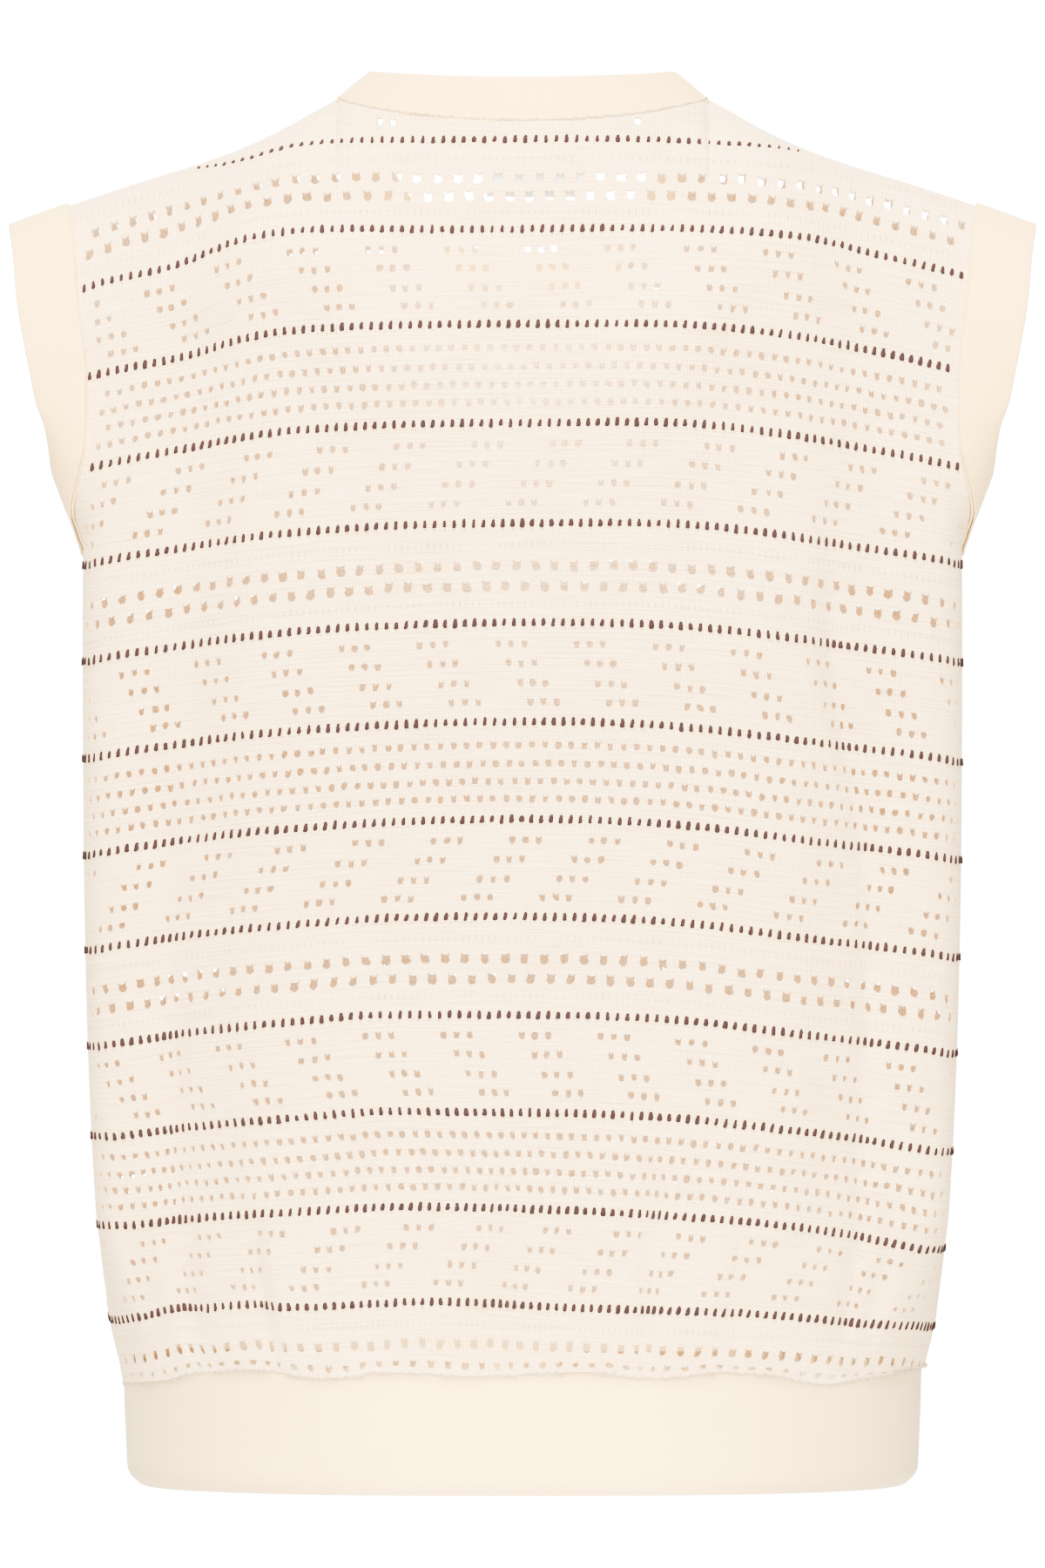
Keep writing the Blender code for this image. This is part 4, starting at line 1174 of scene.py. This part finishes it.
def blend(tree, factor, first, second):
    """Colour between two by a factor."""
    node = tree.nodes.new("ShaderNodeMix")
    node.data_type = "RGBA"
    feed(tree, node.inputs[0], factor)
    feed(tree, node.inputs[6], first)
    feed(tree, node.inputs[7], second)
    return node.outputs[2]


def vector(tree, x, y, z=0.0):
    """Vector of three sockets or numbers."""
    node = tree.nodes.new("ShaderNodeCombineXYZ")
    for socket, value in zip(node.inputs, (x, y, z)):
        feed(tree, socket, value)
    return node.outputs[0]


def noise(tree, at, scale, detail):
    """Noise from 0 to 1, with about scale of its swells in a unit of the place."""
    node = tree.nodes.new("ShaderNodeTexNoise")
    feed(tree, node.inputs["Vector"], at)
    node.inputs["Scale"].default_value = scale
    node.inputs["Detail"].default_value = detail
    return node.outputs["Fac"]


def knit_place(tree):
    """The piece's own knit coordinates: wales across and band number or millimetres down."""
    node = tree.nodes.new("ShaderNodeUVMap")
    node.uv_map = "knit"
    split = tree.nodes.new("ShaderNodeSeparateXYZ")
    tree.links.new(node.outputs[0], split.inputs[0])
    return split.outputs[0], split.outputs[1]


def object_place(tree):
    """Object coordinates, in metres."""
    return tree.nodes.new("ShaderNodeTexCoord").outputs["Object"]


def ramp(tree, value, start, end, first=0.0, last=1.0):
    """Smooth step of a value: first up to the start, and last from the end on."""
    node = tree.nodes.new("ShaderNodeMapRange")
    node.interpolation_type = "SMOOTHSTEP"
    for socket, part in zip(node.inputs, (value, start, end, first, last)):
        feed(tree, socket, part)
    return node.outputs["Result"]


def bumped(tree, shader, height, distance):
    """Feed a height, in shares of a distance, to the shader's normal."""
    node = tree.nodes.new("ShaderNodeBump")
    node.inputs["Strength"].default_value = 1.0
    node.inputs["Distance"].default_value = distance
    tree.links.new(height, node.inputs["Height"])
    tree.links.new(node.outputs[0], shader.inputs["Normal"])


def stitches(tree, wale, course):
    """Height of V-shaped stitches: |sin(pi u)| times a wave that leans out from the middle."""
    rib = maths(tree, "ABSOLUTE", maths(tree, "SINE", maths(tree, "MULTIPLY", wale, np.pi)))
    beside = maths(tree, "ABSOLUTE", maths(tree, "SUBTRACT", maths(tree, "FRACT", wale), 0.5))
    phase = maths(tree, "ADD", course, maths(tree, "MULTIPLY", beside, 1.1))
    wave = maths(tree, "SINE", maths(tree, "MULTIPLY", phase, 2 * np.pi))
    share = maths(tree, "MULTIPLY_ADD", wave, 0.22, 0.78)
    return maths(tree, "MULTIPLY", maths(tree, "POWER", rib, 0.7), share)


def pricks(tree, wale, band, pitch, start, every, row, longer):
    """1 in a small stroke at each pitch of wales on rows row + n * every bands, 0 elsewhere.

    A stroke is an ellipse, longer times as tall as it is wide, with soft edges.
    """
    turn = maths(tree, "FRACT", maths(tree, "DIVIDE", maths(tree, "SUBTRACT", wale, start), pitch))
    beside = maths(tree, "MULTIPLY", maths(tree, "SUBTRACT", turn, 0.5), pitch * WALE)
    lift = maths(tree, "FLOORED_MODULO", maths(tree, "SUBTRACT", band, row - every / 2), every)
    above = maths(tree, "MULTIPLY", maths(tree, "SUBTRACT", lift, every / 2), BAND_TALL / longer)
    away = maths(tree, "SQRT", maths(tree, "ADD", maths(tree, "MULTIPLY", beside, beside),
                                     maths(tree, "MULTIPLY", above, above)))
    return ramp(tree, away, 0.45 * PRICK_RADIUS, PRICK_RADIUS, first=1.0, last=0.0)


def knit_finish():
    """Cream knit: V stitches, painted shade in the grooves between them, slubs along the courses,
    pinpricks in the bands, soft nap.
    """
    material, tree, shader = new_material("cream_knit", 0.9, 0.35)
    wale, band = knit_place(tree)
    course = maths(tree, "MULTIPLY", band, COURSES)
    relief = stitches(tree, wale, course)
    slub = noise(tree, vector(tree, maths(tree, "MULTIPLY", wale, 0.045), course), 1.0, detail=3.0)
    cloud = noise(tree, object_place(tree), 28.0, detail=3.0)
    fuzz = noise(tree, object_place(tree), 1900.0, detail=2.0)
    above = pricks(tree, wale, band, pitch=2, start=0.5, every=4, row=0.223, longer=5.0)
    below = pricks(tree, wale, band, pitch=2, start=1.2, every=4, row=0.815, longer=4.0)
    under = pricks(tree, wale, band, DASH_PITCH, start=1.6, every=1, row=0.060, longer=1.6)
    patchy = maths(tree, "MULTIPLY_ADD", noise(tree, object_place(tree), 90.0, detail=2.0), 1.6, -0.2)
    prick = maths(tree, "ADD", maths(tree, "ADD", above, below), under)
    prick = maths(tree, "MULTIPLY", prick, patchy)
    tone = maths(tree, "MULTIPLY_ADD", slub, 2.5, maths(tree, "MULTIPLY_ADD", cloud, 0.8, -1.15))
    body = blend(tree, tone, *KNIT_CREAMS)
    # Painted shade: the low parts between the stitches darken towards the groove colour.
    body = blend(tree, maths(tree, "MULTIPLY_ADD", relief, -0.3, 0.3), body, KNIT_GROOVE_SHADE)
    body = blend(tree, maths(tree, "MULTIPLY", prick, 0.8), body, KNIT_PRICK)
    tree.links.new(body, shader.inputs["Base Color"])
    height = maths(tree, "MULTIPLY_ADD", slub, 3.6, relief)
    height = maths(tree, "MULTIPLY_ADD", fuzz, 0.5, height)
    height = maths(tree, "SUBTRACT", height, maths(tree, "MULTIPLY", prick, 1.2))
    bumped(tree, shader, height, KNIT_RELIEF)
    return material


def side_shade_share(tree, start, end):
    """Share of the painted side shade: 0 up to a distance start from the middle across, and 1 from
    end on.
    """
    parts = tree.nodes.new("ShaderNodeSeparateXYZ")
    tree.links.new(object_place(tree), parts.inputs[0])
    return ramp(tree, maths(tree, "ABSOLUTE", parts.outputs[0]), start, end)


def band_finish(name, creams, groove_shade, sides=None):
    """Smooth fine jersey of the bands, a little yellower, with faint ribs, painted shade in the
    grooves between its stitches, and nap.

    Where a colour for the sides is given, the cloth darkens to it away from the middle: painted shade
    where the band turns from the light.
    """
    material, tree, shader = new_material(name, 0.88, 0.3)
    wale, course = knit_place(tree)
    across, down = BAND_STITCHES
    relief = stitches(tree, maths(tree, "MULTIPLY", wale, across),
                      maths(tree, "MULTIPLY", course, down))
    cloud = noise(tree, object_place(tree), 34.0, detail=3.0)
    fuzz = noise(tree, object_place(tree), 2100.0, detail=2.0)
    body = blend(tree, cloud, *creams)
    # Painted shade: away from the middle the cloth darkens to the sides colour.
    if sides:
        body = blend(tree, side_shade_share(tree, SIDE_SHADE_FROM_X, SIDE_SHADE_FULL_X), body, sides)
    # Painted shade: the low parts between the stitches darken towards the groove colour.
    body = blend(tree, maths(tree, "MULTIPLY_ADD", relief, -0.2, 0.2), body, groove_shade)
    tree.links.new(body, shader.inputs["Base Color"])
    height = maths(tree, "MULTIPLY_ADD", fuzz, 0.5, maths(tree, "MULTIPLY", relief, 0.8))
    bumped(tree, shader, height, BAND_RELIEF)
    return material


def dash_finish():
    """Plum-brown wool of the dark stitches, with its twist and nap."""
    material, tree, shader = new_material("plum_wool", 0.95, 0.0)
    shader.inputs["Specular IOR Level"].default_value = 0.05
    wale, along = knit_place(tree)
    twist = maths(tree, "SINE", maths(tree, "MULTIPLY_ADD", along, 16.0,
                                      maths(tree, "MULTIPLY", wale, 9.0)))
    fuzz = noise(tree, object_place(tree), 1500.0, detail=3.0)
    body = blend(tree, fuzz, *WOOL_PLUMS)
    tree.links.new(body, shader.inputs["Base Color"])
    height = maths(tree, "MULTIPLY_ADD", fuzz, 1.0, maths(tree, "MULTIPLY", twist, 0.3))
    bumped(tree, shader, height, WOOL_RELIEF)
    return material


def label_finish():
    """Cool white satin tape with a fine weave across, which lets light through."""
    material, tree, shader = new_material("white_satin", 0.45, 0.1)
    shader.inputs["Subsurface Weight"].default_value = 1.0
    shader.inputs["Subsurface Scale"].default_value = 1.5 * MM
    shader.inputs["Subsurface Radius"].default_value = (1.0, 1.0, 1.0)
    across, down = knit_place(tree)
    weave = maths(tree, "SINE", maths(tree, "MULTIPLY", down, 2 * np.pi * SATIN_THREADS[1]))
    thread = maths(tree, "SINE", maths(tree, "MULTIPLY", across, 2 * np.pi * SATIN_THREADS[0]))
    cloud = noise(tree, object_place(tree), 120.0, detail=2.0)
    body = blend(tree, cloud, *SATIN_WHITES)
    tree.links.new(body, shader.inputs["Base Color"])
    height = maths(tree, "MULTIPLY_ADD", thread, 0.4, weave)
    bumped(tree, shader, height, SATIN_RELIEF)
    return material


def floor_finish():
    """Plain pale floor."""
    material, _, shader = new_material("pale_floor", 0.9, 0.0)
    shader.inputs["Base Color"].default_value = (0.92, 0.92, 0.92, 1.0)
    return material


def backdrop_finish():
    """White paper lit from behind."""
    material, _, shader = new_material("white_backdrop", 0.9, 0.0)
    shader.inputs["Base Color"].default_value = (0.9, 0.9, 0.9, 1.0)
    shader.inputs["Emission Color"].default_value = (1.0, 1.0, 1.0, 1.0)
    shader.inputs["Emission Strength"].default_value = BACKDROP_GLOW
    return material


# ---- the pieces ------------------------------------------------------------------------------
knit = knit_finish()
jersey = band_finish("cream_jersey", JERSEY_CREAMS, JERSEY_GROOVE_SHADE)
# The hem's jersey, painted lighter, with painted shade at its sides.
hem_jersey_painted_light = band_finish("cream_jersey_hem_painted_light", HEM_LIT_CREAMS, HEM_GROOVE_SHADE, HEM_SIDE_SHADE)
wool = dash_finish()
satin = label_finish()

back = make_panel(("back_knit_upper", "back_knit_lower"), "back_panel", 1, knit)
front = make_panel(("front_knit_upper", "front_knit_lower"), "front_panel", -1, knit)
back_dashes = make_dashes("back_dashes", 1, wool)
front_dashes = make_dashes("front_dashes", -1, wool)
neck_band = make_neck_band(jersey)
left_band = make_arm_band("arm_band_left_cloth", 1, jersey)
right_band = make_arm_band("arm_band_right_cloth", -1, jersey)
hem_band = make_hem_band(hem_jersey_painted_light)
label = make_label(satin)
for piece, node in ((neck_band, "neck_band"), (left_band, "armhole_band_left"),
                    (right_band, "armhole_band_right"), (hem_band, "hem_band"),
                    (label, "neck_label")):
    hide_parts(node)

neck_seam = evenly(neck_line(), 700)
neck_rise = np.tile((0.0, 0.0, 1.0), (len(neck_seam), 1))
neck_cord = make_cord("neck_edge_loops", neck_seam, *follow(neck_seam, neck_rise, -1), knit)
for hand, name in ((1, "arm_edge_loops_left"), (-1, "arm_edge_loops_right")):
    seam = evenly(arm_line(hand), 700)
    way = np.stack([hand * through(ARM_BAND, "height", "out", seam[:, 2]), 0 * seam[:, 1],
                    through(ARM_BAND, "height", "up", seam[:, 2])], axis=1)
    make_cord(name, seam, *follow(seam, way, -hand), knit, seed=7 + hand)
hem_seam = evenly(knit_edge_line(), 2200)
hem_fall = np.tile((0.0, 0.0, -1.0), (len(hem_seam), 1))
hem_cord = make_cord("hem_edge_loops", hem_seam, *follow(hem_seam, hem_fall, 1), knit,
                     pitch=HEM_LOOP_PITCH, reach=HEM_LOOP_REACH, seed=11)

# ---- floor, light and camera --------------------------------------------------------------
FLOOR_RADIUS = 6.0
FLOOR_Z = -1.45
BACKDROP_HALF = 1.0
BACKDROP_Y = -7.0
BACKDROP_TOP_Z = 1.2
BACKDROP_FOOT_Z = FLOOR_Z + 10 * MM
LAMP_TINT = (1.0, 0.87, 0.64)
WORLD_TINT = (1.0, 0.94, 0.85, 1.0)
WORLD_STRENGTH = 0.5
VEST_MIDDLE = (0.0, 0.0, -0.3)
CAMERA_PLACE = (0.0, 4.53, -0.305)
CAMERA_LENS = 233.8           # millimetres on a sensor 36 mm wide


def stage_face(name, corners, material):
    """One flat face of the stage, with its corners anticlockwise as seen from its front."""
    mesh = bpy.data.meshes.new(name)
    mesh.from_pydata(corners, [], [tuple(range(len(corners)))])
    mesh.materials.append(material)
    add_object(name, mesh)


def add_lamp(name, place, size, power, aim=VEST_MIDDLE, beam=180):
    """Square soft warm light at a place, turned to face the aim, with a beam in degrees."""
    lamp = bpy.data.lights.new(name, "AREA")
    lamp.shape = "SQUARE"
    lamp.size = size
    lamp.energy = power
    lamp.spread = np.radians(beam)
    lamp.color = LAMP_TINT
    item = add_object(name, lamp)
    item.visible_camera = False
    item.location = place
    facing = mathutils.Vector(aim) - mathutils.Vector(place)
    item.rotation_euler = facing.to_track_quat("-Z", "Y").to_euler()


turn = np.arange(96) * 2 * np.pi / 96
disc = np.stack([np.cos(turn), np.sin(turn)], axis=1) * FLOOR_RADIUS
stage_face("floor", [(x, y, FLOOR_Z) for x, y in disc.tolist()], floor_finish())
# A bright backdrop far behind, so that the photo's view has its white ground.
stage_face("backdrop", [(-BACKDROP_HALF, BACKDROP_Y, BACKDROP_TOP_Z),
                        (BACKDROP_HALF, BACKDROP_Y, BACKDROP_TOP_Z),
                        (BACKDROP_HALF, BACKDROP_Y, BACKDROP_FOOT_Z),
                        (-BACKDROP_HALF, BACKDROP_Y, BACKDROP_FOOT_Z)], backdrop_finish())

world = bpy.data.worlds.new("studio")
world.use_nodes = True
sky = world.node_tree.nodes["Background"]
sky.inputs["Color"].default_value = WORLD_TINT
sky.inputs["Strength"].default_value = WORLD_STRENGTH
bpy.context.scene.world = world

add_lamp("light_high_behind", place=(0.2, 1.6, 2.4), size=1.4, power=780)
add_lamp("light_left", place=(1.5, 2.9, 0.2), size=1.6, power=260)
add_lamp("light_right", place=(-1.6, 2.8, 0.4), size=1.6, power=290)
add_lamp("light_front", place=(0.5, -2.8, 1.2), size=2.2, power=420)
# A narrow beam on the hem's middle, and a weak fill light inside, which faces the front.
add_lamp("light_hem", place=(0.0, 3.0, -1.05), size=0.3, power=1.1, aim=(0.0, 0.0, -0.64), beam=12)
add_lamp("light_inside", place=(0.0, 0.0, -0.125), size=0.12, power=0.3, aim=(0.0, -1.0, -0.14))

view = bpy.data.cameras.new("camera")
view.lens = CAMERA_LENS
view.sensor_width = 36.0
camera = add_object("camera", view)
camera.location = CAMERA_PLACE
camera.rotation_euler = (np.radians(90), 0.0, np.radians(180))
bpy.context.scene.camera = camera
